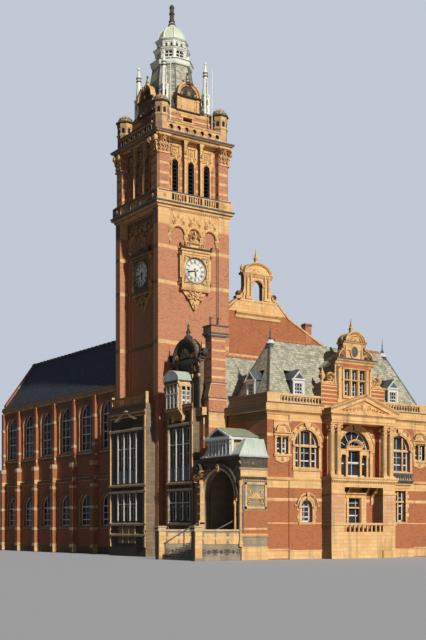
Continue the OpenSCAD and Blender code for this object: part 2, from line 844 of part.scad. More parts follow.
module cornices() {
    o = cornice_out;
    color(stone) difference() {
        union() {
            block([wing_x - o, -wing_front - o, cornice_low], [wing_right + o, -wing_front + wall_t, eaves]);
            block([wing_x - o, -wing_front - o, cornice_low], [wing_x + wall_t, -wing_back + wall_t, eaves]);
            block([wing_right - wall_t, -wing_front - o, cornice_low], [wing_right + o, hall_y, eaves]);
            block([middle_x - o, -wing_back - o, cornice_low], [wing_x + wall_t, -wing_back + wall_t, eaves]);
            block([middle_x - o, -wing_back - o, cornice_low], [middle_x + wall_t, 0, eaves]);
        }
        chimney_space();
        bay_space();
        block([-1, -1, cornice_low - 1], [tower_w, tower_w, eaves + 1]);
    }
    color(stone) {
        block([left_x - 110, tower_w, left_eaves - 180], [left_x, left_back, left_eaves]);
        block([wing_right, hall_y, hall_eaves - 200], [wing_right + 110, left_back, hall_eaves]);
    }
}

module chimney_space() {
    block([330, -wing_back - 360, cornice_low - 1], [1230, -wing_back + gap, 9000]);
    block([400, -wing_back - 380, eaves + 500], [1230, -wing_back + 240, 9300]);
}

module bay_space() {
    block([-400, range_bay[0], 0], [middle_x + wall_t, range_bay[1], 6500]);
}

// A balustrade along X
module rail_x(x0, x1, y, z) {
    n = floor((x1 - x0) / 150);
    pitch = (x1 - x0) / n;
    for (h = [0, parapet_h - 90])
        block([x0, y, z + h], [x1, y + rail_t, z + h + 90]);
    for (i = [0:n - 1])
        translate([x0 + (i + 0.5) * pitch, y + rail_t / 2, z + 90])
            cylinder(r = 34, h = parapet_h - 180);
}

// A hipped roof over a rectangle, whose ends rise over a run of their own
module hip(x0, x1, y0, y1, z, h, end) {
    mid = (y0 + y1) / 2;
    polyhedron(points = [[x0, y0, z], [x1, y0, z], [x1, y1, z], [x0, y1, z],
        [x0 + end, mid, z + h], [x1 - end, mid, z + h]],
        faces = [[0, 1, 2, 3], [4, 5, 1, 0], [5, 2, 1], [5, 4, 3, 2], [4, 0, 3]]);
}

module front_roofs() {
    inset = 220;
    y0 = -wing_front + inset;
    y1 = -wing_back;
    x0 = wing_x + inset;
    x1 = wing_right - inset;
    skin = 150;
    color(slate) difference() {
        union() {
            hip(x0, x1, y0, y1, eaves, wing_roof_h, hip_run);
            ridge_x(middle_x + wall_t + gap, x1, y1, -1, eaves, middle_roof_h);
            ridge_attic(attic_w + 160, 2350);
        }
        hip(x0 + skin, x1 - skin, y0 + skin, y1 - skin, eaves - 1, wing_roof_h - 2 * skin, hip_run - skin);
        ridge_x(middle_x + wall_t, x1 - skin, y1 + skin, -skin, eaves - 1, middle_roof_h - 2 * skin);
        ridge_attic(attic_w - 2 * skin, 1900);
        translate([0, 0, eaves]) block([wing_mid - attic_w / 2 - gap, -wing_front, -1],
            [wing_mid + attic_w / 2 + gap, attic_back + gap, 1700]);
        chimney_space();
        dormer_space();
        block([wing_mid - front_w / 2 - gap, -wing_front - 1, eaves - 1],
            [wing_mid + front_w / 2 + gap, -wing_front + 350, eaves + attic_base_h]);
    }
}

// The roof behind the attic gable, w wide and h high at its ridge
module ridge_attic(w, h) {
    translate([wing_mid, attic_back + 150, eaves]) rotate([90, 0, 0])
        linear_extrude(attic_back + 150 + wing_front - 400 - gap)
            polygon([[-w / 2, 1700], [w / 2, 1700], [0, h]]);
}

dormer_w = 560;
dormer_base = 330;
dormer_wall = 700;
dormer_set = 380;
dormer_deep = 900;

module dormer_space() {
    dormer_places() translate([-dormer_w / 2 - 55, -gap, 0])
        cube([dormer_w + 110, dormer_deep + gap, dormer_wall + 400]);
}

module dormer_places() {
    translate([0, -wing_front + dormer_set, eaves + dormer_base]) {
        translate([wing_mid - 2500, 0, 0]) children();
        translate([wing_mid + 2500, 0, 0]) children();
    }
    translate([wing_x + 380, -(wing_front + wing_back) / 2 + 120, eaves + dormer_base]) rotate(-90)
        children();
}

module dormers() {
    half = dormer_w / 2;
    wall = 60;
    color(white) dormer_places() difference() {
        union() {
            translate([-half, 0, 0]) cube([dormer_w, dormer_deep - gap, dormer_wall]);
            translate([0, -45, dormer_wall]) rotate([-90, 0, 0]) linear_extrude(dormer_deep + 45 - gap)
                polygon([[-half - 50, 0], [half + 50, 0], [0, -360]]);
        }
        translate([wall - half, wall, -1]) cube([dormer_w - 2 * wall, dormer_deep, dormer_wall - wall]);
        translate([0, 0, 120]) square_hole(dormer_w - 160, dormer_wall - 260, wall);
    }
}

// Range between the wing and the tower
module west_walls() {
    color(brick) {
        block([middle_x, -wing_back, 0], [middle_x + wall_t, range_bay[0], cornice_low]);
        block([middle_x + wall_t, -wing_back, 0], [wing_x, -wing_back + wall_t, cornice_low]);
        block([middle_x, range_bay[1], 0], [middle_x + wall_t, 0, cornice_low]);
    }
}

module west_bays() {
    color(stone) {
        window_bay(bay_face, middle_x + wall_t, range_bay, eaves);
        window_bay(tower_bay_face, 0, tower_bay, bay_top);
        block([0, pier_w, bay_top - bay_roof_t], [pier_out, tower_w - pier_w, bay_top]);
    }
}

// A window bay that faces -X, between two places along Y
module window_bay(x0, x1, span, top) {
    mid = (span[0] + span[1]) / 2;
    difference() {
        block([x0, span[0], 0], [x1, span[1], top]);
        block([x0 + wall_t, span[0] + wall_t, -1], [x1 + 1, span[1] - wall_t, top - bay_roof_t]);
        for (i = [-1:1]) for (s = [[1500, 1150], [3700, 1500]])
            translate([x0, mid + i * 520, s[0]]) rotate(-90) square_hole(400, s[1], wall_t);
    }
}

module oriel() {
    y0 = oriel_y[0];
    y1 = oriel_y[1];
    mid = (y0 + y1) / 2;
    color(stone) {
        difference() {
            block([-oriel_out, y0, eaves], [middle_x, y1, oriel_top]);
            block([oriel_wall - oriel_out, y0 + oriel_wall, oriel_sill],
                [middle_x + 1, y1 - oriel_wall, oriel_top - 90]);
            for (i = [-1:1])
                translate([-oriel_out, mid + i * 270, oriel_sill + 60]) rotate(-90)
                    square_hole(200, 700, oriel_wall);
            for (x = [-60, 150])
                block([x - 75, y0 - 1, oriel_sill + 60], [x + 75, y1 + 1, oriel_sill + 760]);
        }
        translate([0, y1, 0]) rotate([90, 0, 0]) linear_extrude(y1 - y0)
            polygon([[-oriel_out, eaves], [-eps, eaves], [-eps, eaves - 420]]);
        translate([-oriel_out - 50, mid, oriel_top]) rotate([0, 90, 0]) difference() {
            scale([0.6, 1, 1]) cylinder(r = (y1 - y0) / 2 + 50, h = middle_x + oriel_out + 50);
            translate([0, -1000, -1]) cube([700, 2000, middle_x + oriel_out + 52]);
        }
    }
}

module west_gable() {
    y0 = -2700;
    y1 = -600;
    mid = (y0 + y1) / 2;
    color(stone) {
        difference() {
            block([middle_x + gap, y0, eaves], [middle_x + wall_t, y1, 7850]);
            block([middle_x, oriel_y[0] + oriel_wall, oriel_sill],
                [middle_x + wall_t + 1, oriel_y[1] - oriel_wall, oriel_top - 90]);
        }
        block([middle_x + gap, y0 - 60, 7850], [middle_x + wall_t, y1 + 60, 7950]);
        translate([middle_x + gap, mid, 7950]) rotate([0, 90, 0]) difference() {
            cylinder(r = 900, h = wall_t - gap);
            translate([0, -1000, -1]) cube([1000, 2000, wall_t + 2]);
        }
        translate([middle_x + 130, mid, 8800]) cylinder(r1 = 110, r2 = 25, h = 620);
    }
}

module chimney() {
    face = -wing_back - 300;
    back = -wing_back;
    color(brick) {
        block([350, face, 0], [1200, back, 6400]);
        translate([0, back, 0]) rotate([90, 0, 0]) linear_extrude(300)
            polygon([[350, 6400], [1200, 6400], [1150, 6900], [485, 6900]]);
        block([485, face, 6900], [1150, face + 450, 8900]);
        block([425, face - 60, 8900], [1210, face + 510, 9150]);
        for (x = [640, 1000])
            translate([x, face + 225, 9150]) cylinder(r = 85, h = 330);
    }
}

// Hall
module hall_gable() {
    color(brick) {
        difference() {
            translate([0, hall_y + wall_t, 0]) rotate([90, 0, 0]) linear_extrude(wall_t)
                polygon([[tower_w, 0], [wing_right, 0], [wing_right, hall_eaves + 300],
                    [wing_right - 700, hall_eaves + 550], [hall_mid + 1700, hall_ridge - 450],
                    [hall_mid + 1150, hall_ridge + 100], [hall_mid - 1150, hall_ridge + 100],
                    [tower_w, hall_ridge - 550]]);
            translate([hall_mid, hall_y, ground_floor]) square_hole(1400, door_h, wall_t);
        }
        block([wing_right - 1550, hall_y, hall_eaves + 850],
            [wing_right - 1250, hall_y + wall_t, hall_eaves + 1450]);
    }
}

module hall_walls() {
    color(brick) {
        difference() {
            block([wing_right - wall_t, hall_y + wall_t, 0], [wing_right, left_back - wall_t, hall_eaves]);
            for (i = [0:6]) for (z = [1500, 5000])
                translate([wing_right, hall_y + 1600 + i * 2050, z]) rotate(90)
                    arch_hole(900, 1800, wall_t);
        }
        block([tower_w, hall_y + wall_t, 0], [tower_w + wall_t, left_back - wall_t, hall_inner_h]);
    }
}

module rear_wall() {
    rise = 100;
    color(brick) difference() {
        translate([0, left_back, 0]) rotate([90, 0, 0]) linear_extrude(wall_t)
            polygon([[left_x, 0], [wing_right, 0], [wing_right, hall_eaves + 2 * rise],
                [hall_mid, hall_ridge + rise], [tower_w, hall_inner_h + 3 * rise],
                [tower_w, left_eaves + rise], [left_mid, left_ridge + rise],
                [left_x, left_eaves + 2 * rise]]);
        for (i = [-1:1]) for (z = [1500, 5000])
            translate([hall_mid + 1000 + i * 1700, left_back - wall_t, z]) arch_hole(1000, 1800, wall_t);
        for (s = [[lower_sill, 1000], [4800, 1300]])
            translate([left_mid, left_back - wall_t, s[0]]) arch_hole(1000, s[1], wall_t);
    }
}

module bellcote() {
    color(stone) translate([hall_mid - 850, hall_y, hall_ridge + 100]) {
        difference() {
            union() {
                translate([-120, -50, 0]) cube([1940, wall_t + 100, 90]);
                translate([120, 0, 90]) cube([1460, wall_t, 1110]);
                translate([20, -40, 1200]) cube([1660, wall_t + 80, 100]);
                translate([850, 0, 1300]) rotate([-90, 0, 0]) scale([1, 0.62, 1])
                    cylinder(r = 780, h = wall_t);
                translate([850, wall_t / 2, 1740]) cylinder(r1 = 90, r2 = 20, h = 460);
            }
            translate([850, 0, 90]) arch_hole(560, 620, wall_t);
        }
        for (side = [-1, 1]) translate([850 + side * 730, 0, 90]) rotate([90, 0, 0])
            mirror([side < 0 ? 1 : 0, 0, 0]) translate([0, 0, -wall_t]) linear_extrude(wall_t)
                difference() {
                    square([420, 520]);
                    translate([420, 520]) circle(r = 400);
                }
    }
}

module hall_roof() {
    over = 100;
    drop = 200;
    inner = wing_right - wall_t;
    slope = (hall_ridge - drop - hall_eaves) / (wing_right - hall_mid);
    color(slate) translate([0, left_back - wall_t, 0]) rotate([90, 0, 0])
        linear_extrude(left_back - hall_y - 2 * wall_t) polygon([[tower_w, hall_inner_h],
            [hall_mid, hall_ridge - drop], [inner, hall_eaves + wall_t * slope],
            [inner, hall_eaves], [wing_right + over, hall_eaves],
            [wing_right + over, hall_eaves + 100], [hall_mid, hall_ridge],
            [tower_w, hall_inner_h + drop]]);
}

// Left wing
module left_walls() {
    color(brick) difference() {
        block([left_x, tower_w, 0], [left_x + wall_t, left_back - wall_t, left_eaves]);
        for (i = [0:bays - 1])
            translate([left_x, tower_w + (i + 0.5) * bay_l, 0]) rotate(-90) {
                translate([0, 0, lower_sill]) arch_hole(1200, 900, wall_t);
                translate([0, 0, 4800]) arch_hole(1200, 1600, wall_t);
            }
    }
}

module left_roof() {
    out = left_x - 60;
    skin = 250;
    color(slate) translate([0, left_back - wall_t, 0]) rotate([90, 0, 0])
        linear_extrude(left_back - wall_t - tower_w)
            polygon([[out, left_eaves], [out + skin, left_eaves], [left_mid, left_ridge - 2 * skin],
                [tower_w + 60 - skin, left_eaves], [tower_w, left_eaves], [left_mid, left_ridge]]);
}

// Porch and steps
module porch() {
    y0 = -wing_front;
    y1 = -wing_back - 360;
    color(stone) {
        difference() {
            block([0, y0, 0], [wing_x, y1, porch_top]);
            block([wall_t, y0 + wall_t, ground_floor], [wing_x + 1, y1 - wall_t, porch_top - 200]);
            translate([0, -porch_y, ground_floor]) rotate(-90)
                arch_hole(2 * porch_r, porch_rise, wall_t);
        }
        block([0, y1, 0], [345, -wing_back, porch_top]);
        block([0, -wing_back, 0], [middle_x, range_bay[0], porch_top]);
    }
}

module porch_roof() {
    over = 90;
    ends = [-wing_front, -wing_back - 360];
    color(copper) for (s = [[ends[0] - over, box_y[0] - gap], [box_y[1] + gap, ends[1]]])
        translate([0, 0, porch_top]) difference() {
            lead_cap(-over, wing_x - gap, s[0], s[1]);
            block([wing_x - gap, ends[0] - 200, -1], [wing_x + 600, ends[1] + 200, 1000]);
        }
}

// A lead cap that rises from a rectangle to a short ridge against the wall
module lead_cap(x0, x1, y0, y1) {
    mid = (y0 + y1) / 2;
    block([x0, y0, 0], [x1, y1, 90]);
    hull() {
        block([x0 + 60, y0 + 60, 90], [x1, y1 - 60, 100]);
        block([x0 + 500, mid - 60, 90], [x1, mid + 60, 700]);
    }
}

module window_box() {
    top = 4640;
    y0 = box_y[0];
    y1 = box_y[1];
    mid = (y0 + y1) / 2;
    color(white) difference() {
        union() {
            block([0, y0, porch_top], [wing_x, y1, top]);
            translate([-60, mid, top]) rotate([90, 0, 90]) linear_extrude(wing_x + 60)
                polygon([[y0 - mid - 60, 0], [y1 - mid + 60, 0], [y1 - mid + 60, 50], [0, 360],
                    [y0 - mid - 60, 50]]);
        }
        block([box_wall, y0 + box_wall, box_sill], [wing_x + 1, y1 - box_wall, top - box_wall]);
        for (i = [0:5])
            block([-1, y0 + 70 + i * 235, box_sill + 30],
                [box_wall + 1, y0 + 70 + i * 235 + 195, top - 110]);
        for (x = [330, 830])
            block([x - 200, y0 - 1, box_sill + 30], [x + 200, y0 + box_wall + 1, top - 110]);
    }
}

module steps() {
    rise = ground_floor / risers;
    color("#9a9184") for (i = [0:risers - 2])
        block([-(i + 1) * going, step_y[0], 0], [-i * going, step_y[1], ground_floor - (i + 1) * rise]);
}

module step_walls() {
    run = (risers - 1) * going;
    thick = 240;
    color(stone) for (y = [step_y[0] - thick, step_y[1]])
        block([-run - 190, y, 0], [0, y + thick, ground_floor + 150]);
}

// Glass
module window_glass() {
    g = glass_t;
    front = -wing_front + wall_t;
    right = wing_right - wall_t;
    low = ground_floor;
    mid = first_floor - slab_t;
    high = attic_floor - slab_t;
    color("#7c8b99") {
        for (z = [[low, mid], [first_floor, high]]) {
            block([wing_x + wall_t + 20, front, z[0]], [right - 2 * g, front + g, z[1]]);
            block([right - g, front + 2 * g, z[0]], [right, hall_y - g, z[1]]);
            block([bay_face + wall_t, range_bay[0] + wall_t, z[0]],
                [bay_face + wall_t + g, range_bay[1] - wall_t, z[1]]);
            block([tower_bay_face + wall_t, tower_bay[0] + wall_t, z[0]],
                [tower_bay_face + wall_t + g, tower_bay[1] - wall_t, z[1]]);
        }
        block([wing_mid - attic_w / 2 + 150, front, eaves + 400],
            [wing_mid + attic_w / 2 - 150, front + g, eaves + 1650]);
        dormer_places() block([70 - dormer_w / 2, 60, 60], [dormer_w / 2 - 70, 60 + g, dormer_wall - 80]);
        block([box_wall, box_y[0] + box_wall + 2 * g, box_sill], [box_wall + g, box_y[1] - box_wall, 4560]);
        block([box_wall + 20, box_y[0] + box_wall, box_sill],
            [wing_x - 20, box_y[0] + box_wall + g, 4560]);
        block([oriel_wall - oriel_out, oriel_y[0] + oriel_wall, oriel_sill],
            [oriel_wall - oriel_out + g, oriel_y[1] - oriel_wall, oriel_top - 90]);
        for (z = [[low, 4300], [4350, hall_eaves - 600]]) {
            block([right - g, hall_y + wall_t, z[0]], [right, left_back - wall_t - 2 * g, z[1]]);
            block([tower_w + wall_t + 20, left_back - wall_t - g, z[0]],
                [right - 20, left_back - wall_t, z[1]]);
        }
        for (z = [[low, mid], [first_floor, left_eaves - 100]]) {
            block([left_x + wall_t + 20, left_back - wall_t - g, z[0]],
                [tower_w - 20, left_back - wall_t, z[1]]);
            block([left_x + wall_t, tower_w + 20, z[0]],
                [left_x + wall_t + g, left_back - wall_t - 2 * g, z[1]]);
        }
    }
}

tower_walls();
corner_piers();
belfry_shafts();
louvres();
tower_cornices();
balustrades();
tower_parapet();
corner_turrets();
tower_attic();
tower_gables();
pinnacles();
tower_roof();
lantern();
tower_dome();
clock_frames();
clock_dials();
front_minute_hand();
front_hour_hand();
side_minute_hand();
side_hour_hand();
floors();
wing_floors();
window_glass();
west_walls();
west_bays();
oriel();
west_gable();
chimney();
wing_front();
wing_ends();
doorway_walls();
front_piers();
front_columns();
pediment();
attic_gable();
cornices();
front_roofs();
dormers();
hall_gable();
hall_walls();
rear_wall();
bellcote();
hall_roof();
left_walls();
left_roof();
porch();
porch_roof();
window_box();
steps();
step_walls();
left_door();
right_door();
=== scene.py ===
# Town hall with a clock tower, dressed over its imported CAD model
import json
import math

import bmesh
import bpy
from mathutils import Matrix, Vector

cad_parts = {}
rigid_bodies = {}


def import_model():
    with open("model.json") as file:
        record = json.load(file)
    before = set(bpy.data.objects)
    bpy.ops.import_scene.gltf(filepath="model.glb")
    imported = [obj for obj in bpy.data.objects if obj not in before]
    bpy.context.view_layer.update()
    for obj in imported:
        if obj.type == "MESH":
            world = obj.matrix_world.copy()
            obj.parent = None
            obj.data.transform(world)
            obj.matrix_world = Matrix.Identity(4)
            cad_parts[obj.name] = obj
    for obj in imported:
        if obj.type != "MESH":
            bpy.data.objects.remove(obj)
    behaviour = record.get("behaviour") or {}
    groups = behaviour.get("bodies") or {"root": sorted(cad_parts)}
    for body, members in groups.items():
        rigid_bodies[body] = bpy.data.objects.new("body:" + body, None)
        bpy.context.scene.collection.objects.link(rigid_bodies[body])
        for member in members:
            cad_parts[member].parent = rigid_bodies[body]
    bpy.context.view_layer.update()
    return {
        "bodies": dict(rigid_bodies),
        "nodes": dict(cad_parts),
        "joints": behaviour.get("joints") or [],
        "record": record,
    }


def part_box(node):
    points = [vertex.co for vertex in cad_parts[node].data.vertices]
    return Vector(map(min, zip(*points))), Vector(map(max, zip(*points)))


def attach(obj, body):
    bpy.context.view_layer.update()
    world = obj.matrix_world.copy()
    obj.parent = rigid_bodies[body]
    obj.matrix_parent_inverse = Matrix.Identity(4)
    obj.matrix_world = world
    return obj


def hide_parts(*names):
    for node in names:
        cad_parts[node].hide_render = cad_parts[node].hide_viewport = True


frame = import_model()
print("frame loaded")

# Sizes in metres of the 1:2 model, read from the frame where a node gives them
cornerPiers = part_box("corner_piers")
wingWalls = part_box("wing_front")
towerWide = cornerPiers[0][0] + cornerPiers[1][0]
towerMid = towerWide / 2
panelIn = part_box("tower_walls")[0][0]
frontY = wingWalls[0][1]
wingLeft = wingWalls[0][0]
wingRight = wingWalls[1][0]
wingMid = (wingLeft + wingRight) / 2
wingBack = -2.95
corniceLow = wingWalls[1][2]
eaves = corniceLow + 0.3
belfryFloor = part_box("belfry_shafts")[0][2]
bayPitch = 0.8
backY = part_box("rear_wall")[1][1]
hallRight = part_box("hall_walls")[1][0]
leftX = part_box("left_walls")[0][0]

bandLevels = {
    "tower": [(8.88, 9.02), (11.37, 11.55), (12.86, 12.98), (13.88, 14.85)],
    "wing": [(0.0, 0.35), (1.33, 1.39), (2.2, 2.31), (2.73, 3.12), (4.66, 4.8), (5.3, 5.65)],
    "chimney": [(5.15, 5.75), (6.86, 6.92), (7.09, 7.17), (7.44, 7.52), (7.79, 7.87), (8.15, 8.23),
                (8.53, 8.61)],
    "left": [(0.0, 0.35), (1.1, 1.2), (3.4, 3.6), (4.5, 4.62), (7.2, 7.42)],
    "hall": [(0.0, 0.35), (1.1, 1.2), (4.6, 4.8), (8.7, 8.9)],
}


# Node maths written as sums
def maths(operation, swap=False):
    return lambda self, other=0.0: self.math(operation, other, swap)


class Value:
    def __init__(self, finish, socket):
        self.finish = finish
        self.socket = socket

    def math(self, operation, other=0.0, swap=False):
        first, second = (other, self) if swap else (self, other)
        return self.finish.node("ShaderNodeMath", {"operation": operation}, {0: first, 1: second})

    __add__ = __radd__ = maths("ADD")
    __sub__ = maths("SUBTRACT")
    __rsub__ = maths("SUBTRACT", True)
    __mul__ = __rmul__ = maths("MULTIPLY")
    __mod__ = maths("FLOORED_MODULO")
    __gt__ = maths("GREATER_THAN")
    __lt__ = maths("LESS_THAN")
    __abs__ = maths("ABSOLUTE")


class Finish:
    # One material, whose nodes are added by type
    def __init__(self, name):
        self.material = bpy.data.materials.new(name)
        self.material.use_nodes = True
        self.tree = self.material.node_tree
        self.tree.nodes.clear()
        self.place = self.node("ShaderNodeTexCoord", out="Object")
        self.x, self.y, self.z = self.split(self.place)

    def node(self, kind, settings=None, sockets=None, out=0):
        made = self.tree.nodes.new(kind)
        for name, setting in (settings or {}).items():
            if name == "stops":
                self.setStops(made.color_ramp, setting)
            else:
                setattr(made, name, setting)
        for name, value in (sockets or {}).items():
            if isinstance(value, Value):
                self.tree.links.new(value.socket, made.inputs[name])
            else:
                made.inputs[name].default_value = value
        return Value(self, made.outputs[out]) if made.outputs else None

    def setStops(self, ramp, stops):
        ramp.interpolation = "CONSTANT"
        for place, level in stops:
            ramp.elements.new(place).color = (level, level, level, 1)
        ramp.elements.remove(ramp.elements[0])

    def split(self, vector):
        return [self.node("ShaderNodeSeparateXYZ", None, {0: vector}, out=k) for k in range(3)]

    def mix(self, factor, first, second):
        colours = [c if isinstance(c, Value) else (*c, 1) for c in (first, second)]
        return self.node("ShaderNodeMix", {"data_type": "RGBA"}, {0: factor, 6: colours[0], 7: colours[1]},
                         2)

    def noise(self, scale, detail=3.0, squash=(1, 1, 1)):
        place = self.node("ShaderNodeMapping", None, {0: self.place, "Scale": squash})
        return self.node("ShaderNodeTexNoise", None, {"Vector": place, "Scale": scale, "Detail": detail})

    def spread(self, value, low, high):
        # Stretches the part of a value between low and high over 0 to 1
        return self.node("ShaderNodeMapRange", None, {0: value, 1: low, 2: high, 3: 0.0, 4: 1.0})

    def eastward(self):
        return self.split(self.node("ShaderNodeNewGeometry", out="Normal"))[0]

    def paintedShadeWest(self):
        # 1 on the faces that look away from the sun, to -X: the mask of the painted shade darkened into
        # them
        return self.spread(self.eastward() * -1, 0.45, 0.9)

    def alongWall(self):
        return self.x + (self.y - self.x) * (abs(self.eastward()) > 0.707)

    def courses(self, along, size, joint):
        # The mask of the joints and a random tone for each block
        place = self.node("ShaderNodeCombineXYZ", None, {0: along, 1: self.z})
        sockets = {"Vector": place, "Color1": (0, 0, 0, 1), "Color2": (1, 1, 1, 1),
                   "Mortar": (0.5, 0.5, 0.5, 1), "Scale": 1.0, "Mortar Size": joint, "Mortar Smooth": 0.2,
                   "Brick Width": size[0], "Row Height": size[1]}
        return [self.node("ShaderNodeTexBrick", {"offset": 0.5}, sockets, out) for out in ("Fac", "Color")]

    def bands(self, levels, top):
        stops = [(0.0, 0.0)]
        for low, high in levels:
            stops += [(low / top, 1.0), (high / top, 0.0)]
        return self.node("ShaderNodeValToRGB", {"stops": stops}, {0: self.z * (1 / top)})

    def done(self, colour, roughness, bump=None, reach=0.004, **plain):
        surface = {"Base Color": colour if isinstance(colour, Value) else (*colour, 1),
                   "Roughness": roughness}
        if bump is not None:
            surface["Normal"] = self.node("ShaderNodeBump", None,
                                          {"Height": bump, "Strength": 0.5, "Distance": reach})
        surface.update({name.replace("_", " "): value for name, value in plain.items()})
        shader = self.node("ShaderNodeBsdfPrincipled", None, surface)
        self.node("ShaderNodeOutputMaterial", None, {0: shader})
        return self.material


# The soot colour stains the dirt streaks and is also the painted shade on faces turned from the sun and in
# hollows
stoneLook = {"warm": (0.82, 0.45, 0.17), "pale": (0.95, 0.62, 0.28), "sootAndShade": (0.10, 0.075, 0.05),
             "joint": (0.42, 0.25, 0.13), "block": (0.36, 0.15), "gap": 0.006}
brickLook = {"red": (0.56, 0.18, 0.075), "orange": (0.70, 0.27, 0.12), "plum": (0.36, 0.12, 0.07),
             "mortar": (0.57, 0.36, 0.22), "block": (0.1125, 0.0375), "gap": 0.005}
wingLook = {**brickLook, "red": (0.47, 0.12, 0.042), "orange": (0.57, 0.18, 0.062),
            "plum": (0.31, 0.09, 0.04), "mortar": (0.45, 0.23, 0.115)}
greyLook = {**stoneLook, "warm": (0.32, 0.26, 0.17), "pale": (0.43, 0.36, 0.25), "joint": (0.2, 0.16, 0.11)}
# Near-black stone for the west bays and gable: painted shade, for they face away from the sun and the tower
# bay's return lies in the near bay's shadow
shadedBayLook = {**stoneLook, "warm": (0.20, 0.145, 0.085), "pale": (0.34, 0.25, 0.15),
           "sootAndShade": (0.05, 0.045, 0.035), "joint": (0.08, 0.07, 0.05)}
# How strongly painted shade darkens stone and brick on the faces turned from the sun
paintedShadeStrength = {"stone": 0.92, "brick": 0.42}


def stoneTone(f, along, look=stoneLook):
    joint, tone = f.courses(along, look["block"], look["gap"])
    blotch = f.noise(1.7, 6.0)
    streak = f.spread(f.noise(3.5, 5.0, (1, 1, 0.14)), 0.52, 0.78)
    colour = f.mix(f.spread(tone * 0.4 + blotch, 0.35, 0.95), look["warm"], look["pale"])
    colour = f.mix(streak * 0.55, colour, look["sootAndShade"])
    # Painted shade: faces turned from the sun, to -X, are darkened towards the soot colour
    colour = f.mix(f.paintedShadeWest() * paintedShadeStrength["stone"], colour, look["sootAndShade"])
    colour = f.mix(joint * 0.55, colour, look["joint"])
    return colour, joint


def stoneFinish(name, look=stoneLook):
    f = Finish(name)
    colour, joint = stoneTone(f, f.alongWall(), look)
    grain = f.noise(38, 4.0)
    return f.done(colour, 0.82, grain * 0.5 - joint, 0.006)


def carvedFinish(name):
    # Stone with painted shade darkening its hollows, for the carved pieces
    f = Finish(name)
    colour = f.mix(f.spread(f.noise(2.3, 6.0), 0.3, 0.7), stoneLook["warm"], stoneLook["pale"])
    hollow = f.node("ShaderNodeNewGeometry", out="Pointiness")
    # Painted shade: the hollows, found by the mesh's pointiness, are darkened towards the soot colour
    colour = f.mix(f.spread(1 - hollow, 0.485, 0.54) * 0.85, colour, stoneLook["sootAndShade"])
    # Painted shade on the faces turned from the sun, to -X
    colour = f.mix(f.paintedShadeWest() * paintedShadeStrength["stone"], colour, stoneLook["sootAndShade"])
    return f.done(colour, 0.8, f.noise(50, 3.0), 0.004)


def brickFinish(name, levels=(), top=20.0, ring=None, look=brickLook):
    f = Finish(name)
    along = f.alongWall()
    joint, tone = f.courses(along, look["block"], look["gap"])
    blotch = f.spread(f.noise(0.9, 6.0), 0.35, 0.7)
    colour = f.mix(tone, look["red"], look["orange"])
    colour = f.mix((tone < 0.12) * 0.8, colour, look["plum"])
    colour = f.mix(blotch * 0.35, colour, look["orange"])
    colour = f.mix(f.spread(f.noise(4.0, 5.0, (1, 1, 0.2)), 0.55, 0.85) * 0.4, colour, stoneLook["sootAndShade"])
    colour = f.mix(joint, colour, look["mortar"])
    # Painted shade on the faces turned from the sun, to -X
    colour = f.mix(f.paintedShadeWest() * paintedShadeStrength["brick"], colour, stoneLook["sootAndShade"])
    stone, stoneJoint = stoneTone(f, along)
    bump = f.noise(60, 2.0) * 0.35 - joint
    isStone = f.bands(levels, top) if levels else None
    if ring:
        rings = (((f.z - ring["start"]) % ring["pitch"]) < ring["band"]) * (f.z > ring["from"])
        isStone = isStone.math("MAXIMUM", rings)
    if isStone:
        colour = f.mix(isStone, colour, stone)
        bump = bump * (1 - isStone) + (f.noise(38, 4.0) * 0.5 - stoneJoint) * isStone
    return f.done(colour, 0.86, bump, 0.004)


def slateFinish(name, light, dark):
    f = Finish(name)
    joint, tone = f.courses(f.alongWall(), (0.13, 0.088), 0.005)
    blotch = f.noise(2.2, 5.0)
    colour = f.mix(f.spread(tone * 0.6 + blotch * 0.6, 0.3, 0.95), dark, light)
    colour = f.mix(f.spread(f.noise(7.0, 4.0), 0.6, 0.75) * 0.5, colour, (0.36, 0.33, 0.14))
    colour = f.mix(joint * 0.75, colour, (0.07, 0.075, 0.07))
    lift = (f.z % 0.088) * 9.0
    return f.done(colour, 0.62, tone * 0.4 - joint - lift * 0.6, 0.008)


def leadFinish(name, pale, dark):
    f = Finish(name)
    colour = f.mix(f.spread(f.noise(3.0, 6.0, (1, 1, 0.25)), 0.35, 0.7), pale, dark)
    return f.done(colour, 0.5, f.noise(25, 3.0), 0.003, Metallic=0.15)


def paintFinish(name, colour, worn, roughness=0.45, metallic=0.0):
    f = Finish(name)
    tone = f.spread(f.noise(9.0, 5.0), 0.45, 0.8)
    return f.done(f.mix(tone * 0.6, colour, worn), roughness, f.noise(40, 3.0), 0.002, Metallic=metallic)


def glassFinish(name):
    f = Finish(name)
    # Painted reflection: the panes are lightened in soft noisy patches as if they mirror the sky
    sky = f.spread(f.noise(1.4, 2.0, (1, 1, 0.6)), 0.35, 0.7)
    colour = f.mix(sky, (0.012, 0.016, 0.02), (0.07, 0.085, 0.10))
    return f.done(colour, 0.07, f.noise(2.5, 1.0), 0.01, Alpha=0.86, Specular_IOR_Level=0.8)


def plainFinish(name, colour, worn, scale=6.0):
    f = Finish(name)
    tone = f.spread(f.noise(scale, 6.0), 0.35, 0.7)
    return f.done(f.mix(tone, colour, worn), 0.85, f.noise(30, 3.0), 0.004)


